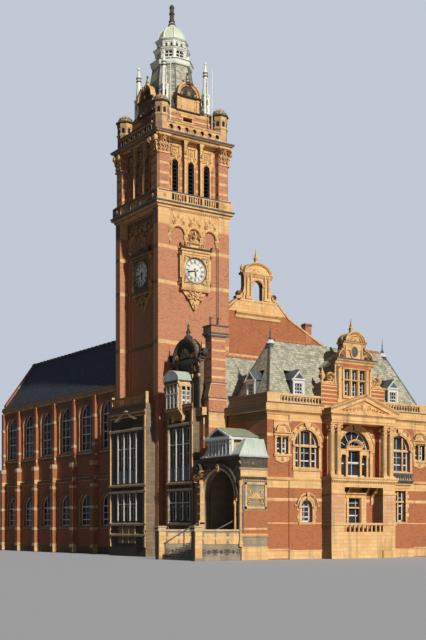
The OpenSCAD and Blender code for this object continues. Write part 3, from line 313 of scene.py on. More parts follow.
brick = {
    "tower": brickFinish("tower brick", bandLevels["tower"],
                         ring={"start": 15.135, "pitch": 0.42, "band": 0.11, "from": 14.85}),
    "wing": brickFinish("wing brick", bandLevels["wing"], 10.0, look=wingLook),
    "chimney": brickFinish("chimney brick", bandLevels["chimney"], 10.0),
    "left": brickFinish("side wing brick", bandLevels["left"], 10.0, look=wingLook),
    "hall": brickFinish("hall brick", bandLevels["hall"], 12.0, look=wingLook),
    "plain": brickFinish("plain brick"),
}
stone = stoneFinish("buff stone")
greyStone = stoneFinish("grey stone", greyLook)
shadedBayStone = stoneFinish("bay stone with painted shade", shadedBayLook)
carved = carvedFinish("carved stone")
turretStone = stoneFinish("turret stone",
                          {**stoneLook, "warm": (0.72, 0.36, 0.17), "pale": (0.82, 0.52, 0.28)})
slate = slateFinish("green slate", (0.72, 0.66, 0.47), (0.32, 0.32, 0.23))
# Near-black slate for the side wing's roof: painted shade, as its slope turns from the sun and lies in the
# tower's shadow
shadedSlate = slateFinish("slate with painted shade", (0.085, 0.09, 0.115), (0.045, 0.05, 0.07))
lead = leadFinish("pale lead", (0.72, 0.77, 0.66), (0.50, 0.58, 0.49))
sage = leadFinish("sage lead", (0.50, 0.55, 0.36), (0.36, 0.40, 0.27))
darkLead = leadFinish("dark lead", (0.16, 0.18, 0.19), (0.08, 0.09, 0.10))
dome = leadFinish("dome copper", (0.92, 0.97, 0.74), (0.78, 0.84, 0.62))
cream = paintFinish("cream paint", (0.97, 0.97, 0.85), (0.80, 0.80, 0.66))
white = paintFinish("white paint", (0.86, 0.85, 0.80), (0.66, 0.62, 0.54))
iron = paintFinish("black iron", (0.018, 0.018, 0.02), (0.045, 0.04, 0.035), 0.45, 0.2)
dial = paintFinish("white dial", (0.93, 0.91, 0.80), (0.80, 0.75, 0.60), 0.35)
doorPaint = paintFinish("green door paint", (0.045, 0.075, 0.055), (0.09, 0.11, 0.09), 0.35)
brass = paintFinish("worn brass", (0.40, 0.27, 0.11), (0.20, 0.14, 0.07), 0.45, 0.6)
glass = glassFinish("window glass")
floorFinish = plainFinish("concrete floor", (0.42, 0.39, 0.35), (0.33, 0.30, 0.27))
stepFinish = plainFinish("worn step stone", (0.46, 0.43, 0.38), (0.26, 0.24, 0.21))
bronze = paintFinish("dark green bronze", (0.075, 0.10, 0.06), (0.20, 0.17, 0.09), 0.5, 0.2)
# Near-black stone: soot, and painted shade on the parts that stand in shadow
sootAndShadeStone = plainFinish("sooty stone with painted shade", (0.13, 0.105, 0.075), (0.05, 0.045, 0.04), 7.0)
mossStone = plainFinish("mossy stone", (0.46, 0.36, 0.21), (0.17, 0.15, 0.085), 8.0)
paleStone = plainFinish("pale worn stone", (0.74, 0.55, 0.33), (0.50, 0.36, 0.21), 5.0)
tile = plainFinish("ridge tile", (0.62, 0.24, 0.12), (0.44, 0.17, 0.10), 9.0)

nodeFinish = (
    (brick["tower"], "tower_walls corner_piers"),
    (brick["plain"], "tower_attic"),
    (brick["wing"], "west_walls wing_front wing_ends doorway_walls"),
    (brick["chimney"], "chimney"),
    (brick["hall"], "hall_gable hall_walls rear_wall"),
    (brick["left"], "left_walls"),
    (stone, "belfry_shafts tower_cornices balustrades tower_parapet tower_gables clock_frames oriel"),
    (stone, "front_piers front_columns pediment attic_gable cornices bellcote"),
    (turretStone, "corner_turrets"),
    (shadedBayStone, "west_bays west_gable"),
    (greyStone, "porch step_walls"),
    (slate, "tower_roof front_roofs hall_roof"),
    (shadedSlate, "left_roof"),
    (lead, "porch_roof"),
    (dome, "tower_dome"),
    (cream, "pinnacles lantern"),
    (white, "dormers window_box"),
    (dial, "clock_dials"),
    (iron, "louvres front_minute_hand front_hour_hand side_minute_hand side_hour_hand"),
    (doorPaint, "left_door right_door"),
    (floorFinish, "floors wing_floors"),
    (stepFinish, "steps"),
)
for finish, nodes in nodeFinish:
    for node in nodes.split():
        for slot in frame["nodes"][node].material_slots:
            slot.material = finish
print("materials made")


# Shared helpers. On a wall place u runs along the wall, z is up and local -Y points out of it
def move(x, y, z):
    return Matrix.Translation((x, y, z))


# Turns in radians, then in degrees
def turnY(angle):
    return Matrix.Rotation(angle, 4, "Y")


def turnZ(angle):
    return Matrix.Rotation(angle, 4, "Z")


def degY(degrees):
    return turnY(math.radians(degrees))


def degZ(degrees):
    return turnZ(math.radians(degrees))


def wallPlace(side, x, y):
    return move(x, y, 0) @ degZ({"front": 0, "right": 90, "back": 180, "left": 270}[side])


def towerPlace(k, reach=0.0):
    # The middle of the tower's panel on face k, counted from the front to the right, back and left
    return move(towerMid, towerMid, 0) @ degZ(90 * k) @ move(0, panelIn - towerMid - reach, 0)


def at(place, u, z, out=0.0):
    return place @ move(u, -out, z)


def grow(x, y, z):
    return Matrix.Diagonal((x, y, z, 1))


def placeNew(bm, place, start):
    bm.verts.ensure_lookup_table()
    bmesh.ops.transform(bm, matrix=place, verts=bm.verts[start:])


def pair(far):
    # Two ends, where a plain number stands for the far one
    return (0, far) if isinstance(far, (int, float)) else far


def both(half):
    # Two ends, where a plain number stands for half the length about the middle
    return (-half, half) if isinstance(half, (int, float)) else half


def around(middle, half):
    # Two places at the same distance on either side of a middle
    return middle - half, middle + half


def span(side, near, far):
    # Two places along the wall in order, on one side of the middle
    return sorted((side * near, side * far))


def slab(bm, place, u, out, z):
    # A block between two places along the wall, two reaches out of it and two heights
    u, out, z = both(u), pair(out), pair(z)
    size = (u[1] - u[0], out[1] - out[0], z[1] - z[0])
    middle = move((u[0] + u[1]) / 2, -(out[0] + out[1]) / 2, (z[0] + z[1]) / 2)
    bmesh.ops.create_cube(bm, size=1, matrix=place @ middle @ grow(*size))


def plate(bm, place, corners, out):
    # A flat shape with (u, z) corners, thick between two reaches out of the wall
    out = pair(out)
    start = len(bm.verts)
    face = bm.faces.new([bm.verts.new((u, -out[0], z)) for u, z in corners])
    made = bmesh.ops.extrude_face_region(bm, geom=[face])["geom"]
    moved = [v for v in made if isinstance(v, bmesh.types.BMVert)]
    bmesh.ops.translate(bm, verts=moved, vec=(0, out[0] - out[1], 0))
    placeNew(bm, place, start)


def moulding(bm, place, u, profile, mitre=(0, 0)):
    # A profile of (out, z) corners run along the wall, its ends slanted by the mitres
    u = both(u)
    start = len(bm.verts)
    face = bm.faces.new([bm.verts.new((u[0] - out * mitre[0], -out, z)) for out, z in profile])
    made = bmesh.ops.extrude_face_region(bm, geom=[face])["geom"]
    for vert in [v for v in made if isinstance(v, bmesh.types.BMVert)]:
        vert.co.x = u[1] - vert.co.y * mitre[1]
    placeNew(bm, place, start)


def arch(bm, place, profile, turn=(0, 180), steps=14):
    # A profile of (radius, out) corners swept about the middle of an arch
    start = len(bm.verts)
    face = bm.faces.new([bm.verts.new((r, -out, 0)) for r, out in profile])
    spot = {"cent": (0, 0, 0), "axis": (0, -1, 0)}
    bmesh.ops.spin(bm, geom=[face], angle=math.radians(turn[1] - turn[0]), steps=steps, **spot)
    placeNew(bm, place @ degY(-turn[0]), start)


def hoop(bm, place, profile, steps):
    # The same profile swept all the way round
    for start in (0, 180):
        arch(bm, place, profile, (start, start + 180), steps)


def meshOf(name, bm):
    mesh = bpy.data.meshes.new(name)
    bm.to_mesh(mesh)
    bm.free()
    return mesh


def turned(name, profile, segments=12):
    # Turns (distance to a flat side, z) corners about Z: 4 segments give a mitred square
    bm = bmesh.new()
    reach = 1 / math.cos(math.pi / segments)
    verts = [bm.verts.new((r * reach, 0, z)) for r, z in profile]
    edges = [bm.edges.new(ends) for ends in zip(verts, verts[1:])]
    spot = {"cent": (0, 0, 0), "axis": (0, 0, 1)}
    bmesh.ops.spin(bm, geom=verts + edges, angle=math.tau, steps=segments, use_merge=True, **spot)
    bmesh.ops.rotate(bm, verts=bm.verts, matrix=Matrix.Rotation(math.pi / segments, 3, "Z"))
    bmesh.ops.remove_doubles(bm, verts=bm.verts, dist=1e-5)
    return meshOf(name, bm)


def stamp(bm, mesh, *places):
    for place in places:
        start = len(bm.verts)
        bm.from_mesh(mesh)
        placeNew(bm, place, start)


def carve(mesh, place, u, z, out, size, lean=0):
    # A carved ornament on a wall, grown to its size and leant in the wall's face
    stamp(carveBm, mesh, at(place, u, z, out) @ turnY(lean) @ grow(*size))


def tube(bm, place, points, radius, taper=None, round=1):
    # A round bar through points, thinned at each by its taper
    curve = bpy.data.curves.new("path", "CURVE")
    curve.dimensions = "3D"
    curve.bevel_depth = radius
    curve.bevel_resolution = round
    curve.use_fill_caps = True
    spline = curve.splines.new("POLY")
    spline.points.add(len(points) - 1)
    for k, (spot, corner) in enumerate(zip(spline.points, points)):
        spot.co = (*corner, 1)
        spot.radius = taper[k] if taper else 1
    holder = bpy.data.objects.new("path", curve)
    mesh = bpy.data.meshes.new_from_object(holder)
    stamp(bm, mesh, place)
    bpy.data.objects.remove(holder)


def piece(name, bm, material, slot, *replaced, body="building"):
    bmesh.ops.recalc_face_normals(bm, faces=bm.faces)
    mesh = meshOf(name, bm)
    mesh.materials.append(material)
    mesh.shade_smooth()
    mesh.set_sharp_from_angle(angle=math.radians(32))
    made = bpy.data.objects.new(name, mesh)
    bpy.context.collection.objects.link(made)
    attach(made, body)
    if replaced:
        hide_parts(*replaced)
    return made


def outline(w, h, curved=False, steps=14):
    # Corners of an opening from its sill, square-headed or with a half-round head
    if not curved:
        return [(-w / 2, 0), (w / 2, 0), (w / 2, h), (-w / 2, h)]
    turns = [math.pi * k / steps for k in range(steps + 1)]
    return [(-w / 2, 0), (w / 2, 0)] + [(w / 2 * math.cos(a), h + w / 2 * math.sin(a)) for a in turns]


# Carving that the stone pieces share: a volute, a leaf, a flower, a shell and a foliage panel
def voluteMesh(size=0.5, turns=1.4, steps=14):
    bm = bmesh.new()
    points = []
    for k in range(steps + 1):
        part = k / steps
        r = size * (1 - 0.82 * part)
        a = -math.pi / 2 + turns * math.tau * part
        points.append((r * math.cos(a), 0, size + r * math.sin(a)))
    tube(bm, Matrix(), points, 0.1, [1 - 0.4 * k / len(points) for k in range(len(points))])
    bmesh.ops.create_icosphere(bm, subdivisions=1, radius=0.13, matrix=move(0, 0, size))
    return meshOf("volute", bm)


def leafMesh():
    bm = bmesh.new()
    for turn, length in ((-38, 0.62), (0, 1.0), (38, 0.62)):
        lie = degY(turn) @ move(0, 0, length / 2)
        bmesh.ops.create_icosphere(bm, subdivisions=1, radius=0.5, matrix=lie @ grow(0.3, 0.28, length))
    return meshOf("leaf", bm)


def flowerMesh(petals=6):
    bm = bmesh.new()
    for k in range(petals):
        lie = turnY(math.tau * k / petals) @ move(0, 0, 0.3)
        bmesh.ops.create_icosphere(bm, subdivisions=1, radius=0.5, matrix=lie @ grow(0.34, 0.3, 0.42))
    bmesh.ops.create_icosphere(bm, subdivisions=1, radius=0.14, matrix=grow(1, 1.4, 1))
    return meshOf("flower", bm)


def shellMesh(ribs=7):
    bm = bmesh.new()
    for k in range(ribs):
        lie = degY(-78 + 156 * k / (ribs - 1)) @ move(0, 0, 0.27)
        bmesh.ops.create_icosphere(bm, subdivisions=1, radius=0.5, matrix=lie @ grow(0.2, 0.3, 0.56))
    return meshOf("shell", bm)


volute = voluteMesh()
leaf = leafMesh()
flower = flowerMesh()
shell = shellMesh()


def foliage(bm, place, w, h, deep=0.05):
    # A panel of scrolls and leaves on either side of a flower, w by h about the place
    for side in (-1, 1):
        half = place @ grow(side, 1, 1)
        for k in range(max(1, round(w / h / 1.1))):
            u = h * (0.62 + 0.95 * k)
            flip = 1 if k % 2 == 0 else -1
            stamp(bm, volute, half @ move(u, 0, -flip * h * 0.4) @ grow(h * 0.8, deep * 3, flip * h * 0.8))
            curl = half @ move(u + h * 0.36, 0, flip * h * 0.1) @ turnY(flip * 0.9)
            stamp(bm, leaf, curl @ grow(h * 0.5, deep * 3, h * 0.42))
    stamp(bm, flower, place @ grow(h * 0.62, deep * 3, h * 0.62))


# Windows: white frames with glazing bars, panes behind them
timberBm, paneBm = (bmesh.new() for k in range(2))


def sash(place, w, h, curved=False, cols=2, rows=3, back=0.12, frame=0.045, bar=0.02, heads=0):
    # A window in an opening that starts at the place, cut into cols by rows of panes
    reach = (-back - 0.05, -back)
    slim = (-back - 0.035, -back - 0.01)
    for side in (-1, 1):
        slab(timberBm, place, span(side, w / 2, w / 2 - frame), reach, h)
    slab(timberBm, place, w / 2, reach, frame * 1.3)
    slab(timberBm, place, w / 2, reach, (h - frame / 2, h + frame / 2 * curved))
    if curved:
        r = w / 2
        profile = [(r - frame, reach[0]), (r, reach[0]), (r, reach[1]), (r - frame, reach[1])]
        arch(timberBm, at(place, 0, h), profile)
        for k in range(1, heads + 1):
            turn = degY(90 - 180 * k / (heads + 1))
            slab(timberBm, at(place, 0, h) @ turn, bar / 2, slim, r)
    for k in range(1, cols):
        u = -w / 2 + w * k / cols
        tall = h + (math.sqrt(max(0, w * w / 4 - u * u)) if curved and not heads else 0)
        slab(timberBm, place, around(u, bar / 2), slim, tall)
    for k in range(1, rows):
        z = h * k / rows
        thick = frame / 2 if k == rows // 2 else bar / 2
        slab(timberBm, place, w / 2, slim, around(z, thick))
    plate(paneBm, place, outline(w, h, curved), (-back - 0.03, -back - 0.022))


wing = wallPlace("front", 0, frontY)
endWall = wallPlace("right", wingRight, 0)
rearWall = wallPlace("back", 0, backY)
hallWall = wallPlace("right", hallRight, 0)
leftWall = wallPlace("left", leftX, 0)
westWall = wallPlace("left", 0, 0)
towerBay = wallPlace("left", -0.45, 0)
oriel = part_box("oriel")
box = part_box("window_box")
orielWall = wallPlace("left", -0.3, 0)
sideDormer = wallPlace("left", 1.63, -4.28)
frontDormers = around(wingMid, 2.5)
endLights = [(y, z) for y in (-4.8, -3.9, -2.5, -1.3) for z in (1.5, 3.7)]
lightPitch = 0.52
leftLights = [-(3.6 + 2.1 * (k + 0.5)) for k in range(6)]
windowBays = {
    "side": {"u": 3.625, "z": 4.02, "w": 0.56, "h": 0.64},
    "arched": {"u": 2.445, "z": 3.5, "w": 1.175, "h": 0.9125},
}
for side in (-1, 1):
    for name, bay in windowBays.items():
        spot = at(wing, wingMid + side * bay["u"], bay["z"])
        sash(spot, bay["w"], bay["h"], name != "side", cols=4 if name == "arched" else 2)
sash(at(wing, wingLeft + 1.88, 1.43), 0.52, 0.6, True, cols=2, rows=3)
sash(at(wing, wingRight - 1.88, 1.46), 0.66, 1.31, cols=2, rows=4)
sash(at(wing, wingMid, 3.25), 1.6, 1.05, True, cols=4, rows=2, heads=5)
sash(at(wing, wingMid, 1.2), 1.3, 1.5, cols=3, rows=3)
for y, z in endLights:
    sash(at(endWall, y, z), 0.6, 1.3)
for bay, mid in ((westWall, 1.675), (towerBay, -1.8)):
    for k in (-1, 0, 1):
        sash(at(bay, mid + k * lightPitch, 1.5), 0.4, 1.15, cols=1, rows=2, frame=0.03)
        sash(at(bay, mid + k * lightPitch, 3.7), 0.4, 1.5, cols=1, rows=3, frame=0.03)
for k in range(7):
    for z in (1.5, 5.0):
        sash(at(hallWall, 2.2 + 2.05 * k, z), 0.9, 1.8, True, cols=3, rows=4)
for u in leftLights:
    sash(at(leftWall, u, 1.3), 1.2, 0.9, True, cols=3, rows=3)
    sash(at(leftWall, u, 4.8), 1.2, 1.6, True, cols=3, rows=4)
for x in (-2.7, 1.0 - 1.7, 1.0, 1.0 + 1.7):
    for z in (1.5, 5.0):
        sash(at(rearWall, -(6.75 + x), z), 1.0, 1.8, True, cols=3, rows=4)
for u in frontDormers:
    sash(at(wing, u, eaves + 0.45, -0.38), 0.4, 0.44, cols=3, rows=3, back=0.02, frame=0.03, bar=0.015)
sash(at(sideDormer, 0, eaves + 0.45), 0.4, 0.44, cols=3, rows=3, back=0.02, frame=0.03)
for k in (-1, 0, 1):
    sash(at(wing, wingMid + 0.4 * k, eaves + 0.5, 0.04), 0.28, 0.6, cols=2, rows=3, frame=0.025, bar=0.014)
    sash(at(wing, wingMid + 0.4 * k, eaves + 1.15, 0.04), 0.28, 0.4, cols=2, rows=1, frame=0.025, bar=0.014)
    sash(at(orielWall, 1.57 + 0.27 * k, 6.01), 0.2, 0.7, cols=1, rows=3, back=0.05, frame=0.02, bar=0.012)
for k in range(6):
    sash(at(westWall, 5.23 - 0.07 - 0.235 * k - 0.0975, 3.98), 0.195, 0.55, cols=1, rows=2, back=0.04,
         frame=0.02)
piece("window_frames", timberBm, white, "timber")
piece("window_panes", paneBm, glass, "glass", "window_glass")
print("windows made")


# Clock tower
clock = {"z": 12.1, "out": 0.18, "minute": 102, "hour": 188.5}
clock["face"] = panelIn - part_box("front_hour_hand")[1][1] - 0.008
belfry = {"sill": 15.05, "spring": 16.62, "wide": 0.32, "set": 0.22, "panel": 17.15}
corbel = {"low": 13.46, "spring": 13.6, "top": 14.6, "radius": 0.3}
faces = [towerPlace(k) for k in range(4)]
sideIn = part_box("side_hour_hand")[1][0] + clock["face"] + 0.008
panels = faces[:3] + [towerPlace(3, panelIn - sideIn)]
stoneBm, carveBm, brickBm, inkBm, greenBm, ringBm, darkBm = (bmesh.new() for k in range(7))


def numeral(place, text, tall):
    # Roman figures as thin bars
    wide = {"I": 0.034, "V": 0.064, "X": 0.064}
    u = -sum(wide[c] for c in text) / 2
    for c in text:
        middle = u + wide[c] / 2
        for lean in {"I": (0,), "V": (-0.2, 0.2), "X": (-0.34, 0.34)}[c]:
            shift = 0 if c != "V" else math.copysign(wide[c] * 0.22, lean)
            spot = at(place, middle + shift, 0) @ turnY(lean)
            slab(inkBm, spot, 0.0095, 0.004, (-tall / 2, tall / 2))
        u += wide[c]


def clockFace(place, out):
    face = at(place, 0, clock["z"], out)
    figures = ("XII", "I", "II", "III", "IIII", "V", "VI", "VII", "VIII", "IX", "X", "XI")
    for k, text in enumerate(figures):
        numeral(face @ degY(30 * k) @ move(0, 0, 0.385), text, 0.13)
    for k in range(60):
        slab(inkBm, face @ degY(6 * k), 0.004, 0.004, (0.475, 0.5))
    for low, high in ((0.298, 0.306), (0.468, 0.474), (0.5, 0.512)):
        hoop(inkBm, face, [(low, 0), (high, 0), (high, 0.004), (low, 0.004)], 24)


def clockFrame(place):
    mid = at(place, 0, clock["z"], clock["out"])
    hoop(ringBm, mid, [(0.535, -0.06), (0.575, -0.06), (0.575, 0.012), (0.555, 0.02), (0.535, 0)], 24)
    for su in (-1, 1):
        for sz in (-1, 1):
            turns = [math.radians(12 + 66 * k / 8) for k in range(9)]
            curve = [(su * 0.585 * math.cos(a), sz * 0.585 * math.sin(a)) for a in turns]
            plate(stoneBm, mid,
                  curve + [(su * 0.12, sz * 0.62), (su * 0.62, sz * 0.62), (su * 0.62, sz * 0.12)], 0.01)
            plate(greenBm, mid, [(su * 0.44, sz * 0.45), (su * 0.57, sz * 0.36), (su * 0.59, sz * 0.59),
                                 (su * 0.36, sz * 0.57)], (0.01, 0.014))
            lean = su * (0.78 if sz > 0 else 2.36)
            carve(leaf, mid, su * 0.44, sz * 0.44, 0.01, (0.2, 0.08, 0.2), lean)
            stamp(greenBm, volute, at(mid, su * 0.3, sz * 0.58) @ grow(su * 0.14, 0.3, -sz * 0.12))
            stamp(greenBm, volute,
                  at(mid, su * 0.57, sz * 0.3) @ turnY(su * sz * 1.57) @ grow(0.12, 0.3, 0.12))
        slab(stoneBm, mid, span(su, 0.7, 0.63), 0.03, (-0.78, 0.78))
        slab(stoneBm, mid, span(su, 0.7, 0.78), (-0.16, 0), (-0.35, 0.55))
        carve(volute, mid, su * 0.76, 0.5, -0.06, (-su * 0.2, 0.8, 0.24))
        carve(volute, mid, su * 0.76, -0.4, -0.06, (-su * 0.2, 0.8, -0.24))
        carve(volute, mid, su * 0.38, 0.9, -0.05, (-su * 0.34, 0.5, 0.34))
        carve(volute, mid, su * 0.3, -0.9, -0.03, (-su * 0.36, 0.5, -0.36))
        carve(leaf, mid, su * 0.18, 1.12, -0.05, (0.18, 0.4, 0.26), su * 0.4)
        tip = [(su * 0.66, 0.93), (su * 0.8, 0.93), (su * 0.8, 1.08), (su * 0.74, 0.97)]
        plate(darkBm, mid, tip, (-0.06, 0.11))
    slab(stoneBm, mid, 0.7, 0.035, (0.66, 0.74))
    slab(stoneBm, mid, 0.7, 0.035, (-0.76, -0.68))
    moulding(darkBm, mid, 0.78, [(0, 0.8), (0, 0.93), (0.12, 0.93), (0.1, 0.88), (0.04, 0.82)])
    moulding(stoneBm, mid, 0.74, [(0, -0.88), (0.05, -0.84), (0.07, -0.78), (0, -0.78)])
    carve(shell, mid, 0, 1.14, -0.04, (0.42, 0.5, 0.42))
    carve(leaf, mid, 0, 1.34, -0.06, (0.3, 0.5, 0.4))
    for su in (-1, 1):
        carve(volute, mid, su * 0.2, 1.38, -0.06, (su * 0.22, 0.5, 0.22))
    carve(flower, mid, 0, -1.08, -0.04, (0.4, 0.5, 0.4))
    carve(leaf, mid, 0, -1.28, -0.05, (0.34, 0.4, 0.42), math.pi)


def clockHand(name, place, turn, back, reach, wide, tail):
    # A pointed hand in place of the plain CAD one, open round its arbor
    bm = bmesh.new()
    spot = at(place, 0, clock["z"], back) @ degY(-turn)
    hoop(bm, spot, [(0.0206, 0), (0.05, 0), (0.05, 0.01), (0.0206, 0.01)], 8)
    blade = [(-0.3 * wide, 0.045), (0.3 * wide, 0.045), (wide / 2, reach * 0.62), (0, reach),
             (-wide / 2, reach * 0.62)]
    plate(bm, spot, blade, (0.0005, 0.0095))
    heel = [(-0.3 * wide, -0.045), (-wide / 2, -tail), (wide / 2, -tail), (0.3 * wide, -0.045)]
    plate(bm, spot, heel, (0.0005, 0.0095))
    piece(name + "_blade", bm, iron, "dark_iron", name, body=name)


def corbelTable(place):
    r = corbel["radius"]
    low, spring, top = corbel["low"], corbel["spring"], corbel["top"]
    edge = [(-1.25, spring)]
    for k in (-1, 0, 1):
        turns = [math.pi * (1 - step / 12) for step in range(13)]
        edge += [(0.8 * k + r * math.cos(a), spring + r * math.sin(a)) for a in turns]
    edge += [(1.25, spring), (1.25, top), (-1.25, top)]
    plate(stoneBm, place, edge, 0.07)
    for k in (-1, 0, 1):
        spot = at(place, 0.8 * k, spring)
        ring = [(r - 0.02, 0), (r + 0.09, 0.07), (r + 0.09, 0.11), (r + 0.02, 0.13), (r - 0.02, 0.1)]
        arch(stoneBm, spot, ring, steps=12)
        crest = at(spot, 0, r + 0.08, 0.08)
        stamp(carveBm, shell, crest @ grow(0.46, 0.3, 0.4))
        for su in (-1, 1):
            carve(leaf, crest, su * 0.14, 0.14, 0, (0.2, 0.24, 0.3), su * 0.5)
            carve(volute, crest, su * 0.2, -0.04, 0, (su * 0.2, 0.5, 0.2))
        carve(leaf, crest, 0, 0.24, 0, (0.16, 0.24, 0.24))
    for u in (-1.2, -0.4, 0.4, 1.2):
        spot = at(place, u, low)
        stamp(stoneBm, bracket, spot)
        carve(leaf, spot, 0, -0.12, 0.07, (0.18, 0.2, 0.24), math.pi)
        carve(flower, spot, 0, 0.3, 0.09, (0.2, 0.2, 0.2))
        for su in (-1, 1):
            carve(volute, spot, su * 0.03, 0.08, 0.07, (su * 0.15, 0.4, 0.15))
    for k in range(25):
        u = -1.2 + 0.1 * k
        stamp(carveBm, drop, at(place, u, top - 0.04, 0.09))


def pierTop(place, side):
    # The carved capital of a belfry pier, on one of its two outer faces
    pier = at(place, side * (towerMid - 0.275), 0, 0.08)
    reach = (-0.27, 0.27)
    slab(stoneBm, pier, reach, 0.045, (16.84, 16.9))
    slab(stoneBm, pier, reach, 0.03, (15.28, 15.36))
    for row, (z, tall, wide) in enumerate(((16.92, 0.3, 0.17), (17.12, 0.34, 0.19))):
        count = 3 + row
        for k in range(count):
            u = reach[0] + 0.54 * (k + 0.5) / count
            carve(leaf, pier, u, z, 0.02 + 0.03 * row, (wide, 0.3, tall))
    for su in (-1, 1):
        carve(volute, pier, su * 0.18, 17.32, 0.09, (su * 0.26, 0.9, 0.26))
    carve(flower, pier, 0, 17.45, 0.08, (0.2, 0.3, 0.2))
    slab(stoneBm, pier, 0.3, 0.09, (17.58, 17.65))
    carve(flower, pier, 0, 15.07, 0.11, (0.17, 0.16, 0.17))


def belfryBay(place, u):
    w = belfry["wide"]
    spot = at(place, u, belfry["sill"])
    high = belfry["spring"] - belfry["sill"]
    for su in (-1, 1):
        slab(stoneBm, spot, span(su, w / 2, w / 2 + 0.045), 0.05, high)
        stamp(stoneBm, impost, at(spot, su * (w / 2 + 0.03), high - 0.05))
    ring = [(w / 2, 0), (w / 2, 0.05), (w / 2 + 0.06, 0.08), (w / 2 + 0.1, 0.05), (w / 2 + 0.1, 0)]
    arch(stoneBm, at(spot, 0, high), ring)
    key = [(-0.03, 0), (0.03, 0), (0.05, 0.13), (-0.05, 0.13)]
    plate(stoneBm, at(spot, 0, high + w / 2), key, 0.11)
    half, top = 0.34, 17.6 - belfry["sill"]
    flank = [(-half, high), (-w / 2, high)] + archHead(w / 2, high) + [(w / 2, high), (half, high)]
    plate(stoneBm, spot, flank + [(half, top), (-half, top)], 0.02)
    slab(stoneBm, place, around(u, 0.22), 0.06, (belfry["panel"] - 0.27, belfry["panel"] - 0.24))
    panel = at(place, u, belfry["panel"])
    for low, high in ((-0.22, -0.175), (0.175, 0.22)):
        slab(stoneBm, panel, (low, high), 0.075, (-0.22, 0.22))
        slab(stoneBm, panel, 0.22, 0.075, (low, high))
    carve(flower, panel, 0, 0, 0.03, (0.3, 0.3, 0.3))
    for turn in (45, 135, 225, 315):
        stamp(carveBm, leaf, at(panel, 0, 0, 0.02) @ degY(turn) @ move(0, 0, 0.1) @ grow(0.11, 0.2, 0.13))


def archHead(r, z, steps=12):
    turns = [math.pi * (1 - step / steps) for step in range(1, steps)]
    return [(r * math.cos(a), z + r * math.sin(a)) for a in turns]


def belfryFace(place):
    # On the wall that is set back behind the piers
    wall = at(place, 0, 0, -belfry["set"])
    for k in (-1, 0, 1):
        belfryBay(wall, bayPitch * k)
    for u in (-0.4, 0.4):
        stamp(stoneBm, capital, at(place, u, belfryFloor + 2.42, -0.035))
        carve(leaf, place, u, belfryFloor + 2.12, 0.07, (0.13, 0.2, 0.22))
        slab(brickBm, wall, around(u, 0.16), 0.03, (belfryFloor, 16.8))
    for su in (-1, 1):
        slab(brickBm, wall, span(su, 1.25, 1.1), 0.04, (belfryFloor, 16.8))
        pierTop(place, su)
    moulding(stoneBm, wall, 1.25, [(0, 17.5), (0.06, 17.52), (0.1, 17.6), (0.22, 17.65), (0, 17.65)])


def squareRing(name, profile):
    # A closed profile of (reach beyond the piers, z) corners run round the tower
    return turned(name, [(towerMid + r, z) for r, z in profile + profile[:1]], 4)


bracket = turned("bracket", [(0, -0.34), (0.03, -0.33), (0.05, -0.27), (0.035, -0.24), (0.07, -0.12),
                             (0.11, -0.03), (0.13, 0), (0.13, 0.06), (0.1, 0.1), (0.1, 0.2), (0, 0.2)], 6)
impost = turned("impost", [(0, 0), (0.035, 0), (0.055, 0.03), (0.055, 0.06), (0, 0.06)], 4)
capital = turned("capital", [(0, 0), (0.06, 0), (0.075, 0.03), (0.06, 0.06), (0.075, 0.16), (0.11, 0.26),
                             (0.11, 0.34), (0, 0.34)], 4)
drop = turned("drop", [(0, -0.05), (0.025, -0.035), (0.035, 0), (0.035, 0.04), (0, 0.04)], 6)
middle = move(towerMid, towerMid, 0)
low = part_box("tower_cornices")[0][2]
lowMould = [(0.0, low - 0.02), (0.03, low), (0.05, low + 0.06), (0.09, low + 0.085), (0.0, low + 0.1)]
topMould = [(-0.02, 17.56), (0.03, 17.6), (0.04, 17.65), (0.0, 17.65)]
for name, mould in (("low_mould", lowMould), ("top_mould", topMould)):
    stamp(stoneBm, squareRing(name, mould), middle)
edgeBm = bmesh.new()
for name, z in (("low_edge", belfryFloor), ("top_edge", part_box("tower_parapet")[0][2])):
    lip = [(0.09, -0.06), (0.09, 0.012), (0.175, 0.012), (0.182, -0.03), (0.16, -0.07)]
    stamp(edgeBm, squareRing(name, [(r, z + up) for r, up in lip]), middle)
pipe = {"u": 1.2, "out": 0.03, "foot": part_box("hall_gable")[1][2] - 4.9, "head": corbel["low"] - 0.2,
        "radius": 0.026}
tube(edgeBm, faces[0], [(pipe["u"], -pipe["out"], pipe[end]) for end in ("foot", "head")], pipe["radius"])
for panel in panels:
    clockFace(panel, clock["face"])
    clockFrame(panel)
    corbelTable(panel)
    for su in (-1, 1):
        slab(brickBm, panel, span(su, 1.25, 1.16), 0.035, (6.42, 13.86))
for face in faces:
    belfryFace(face)
    slab(edgeBm, face, (-towerMid - 0.03, towerMid + 0.03), (0.17, 0.2),
         (belfryFloor + 0.405, belfryFloor + 0.44))
for side, panel in (("front", panels[0]), ("side", panels[3])):
    clockHand(side + "_minute_hand", panel, clock["minute"], clock["face"] + 0.026, 0.46, 0.058, 0.13)
    clockHand(side + "_hour_hand", panel, clock["hour"], clock["face"] + 0.008, 0.31, 0.08, 0.1)
piece("tower_dressings", stoneBm, stone, "stone")
piece("tower_carving", carveBm, carved, "stone")
piece("tower_strips", brickBm, brick["tower"], "brick")
piece("tower_edges", edgeBm, darkLead, "stone")
piece("clock_figures", inkBm, iron, "dark_iron")
piece("clock_rings", ringBm, brass, "stone")
piece("clock_spandrels", greenBm, bronze, "stone")
piece("clock_cornices", darkBm, sootAndShadeStone, "stone")
print("tower shaft and belfry made")


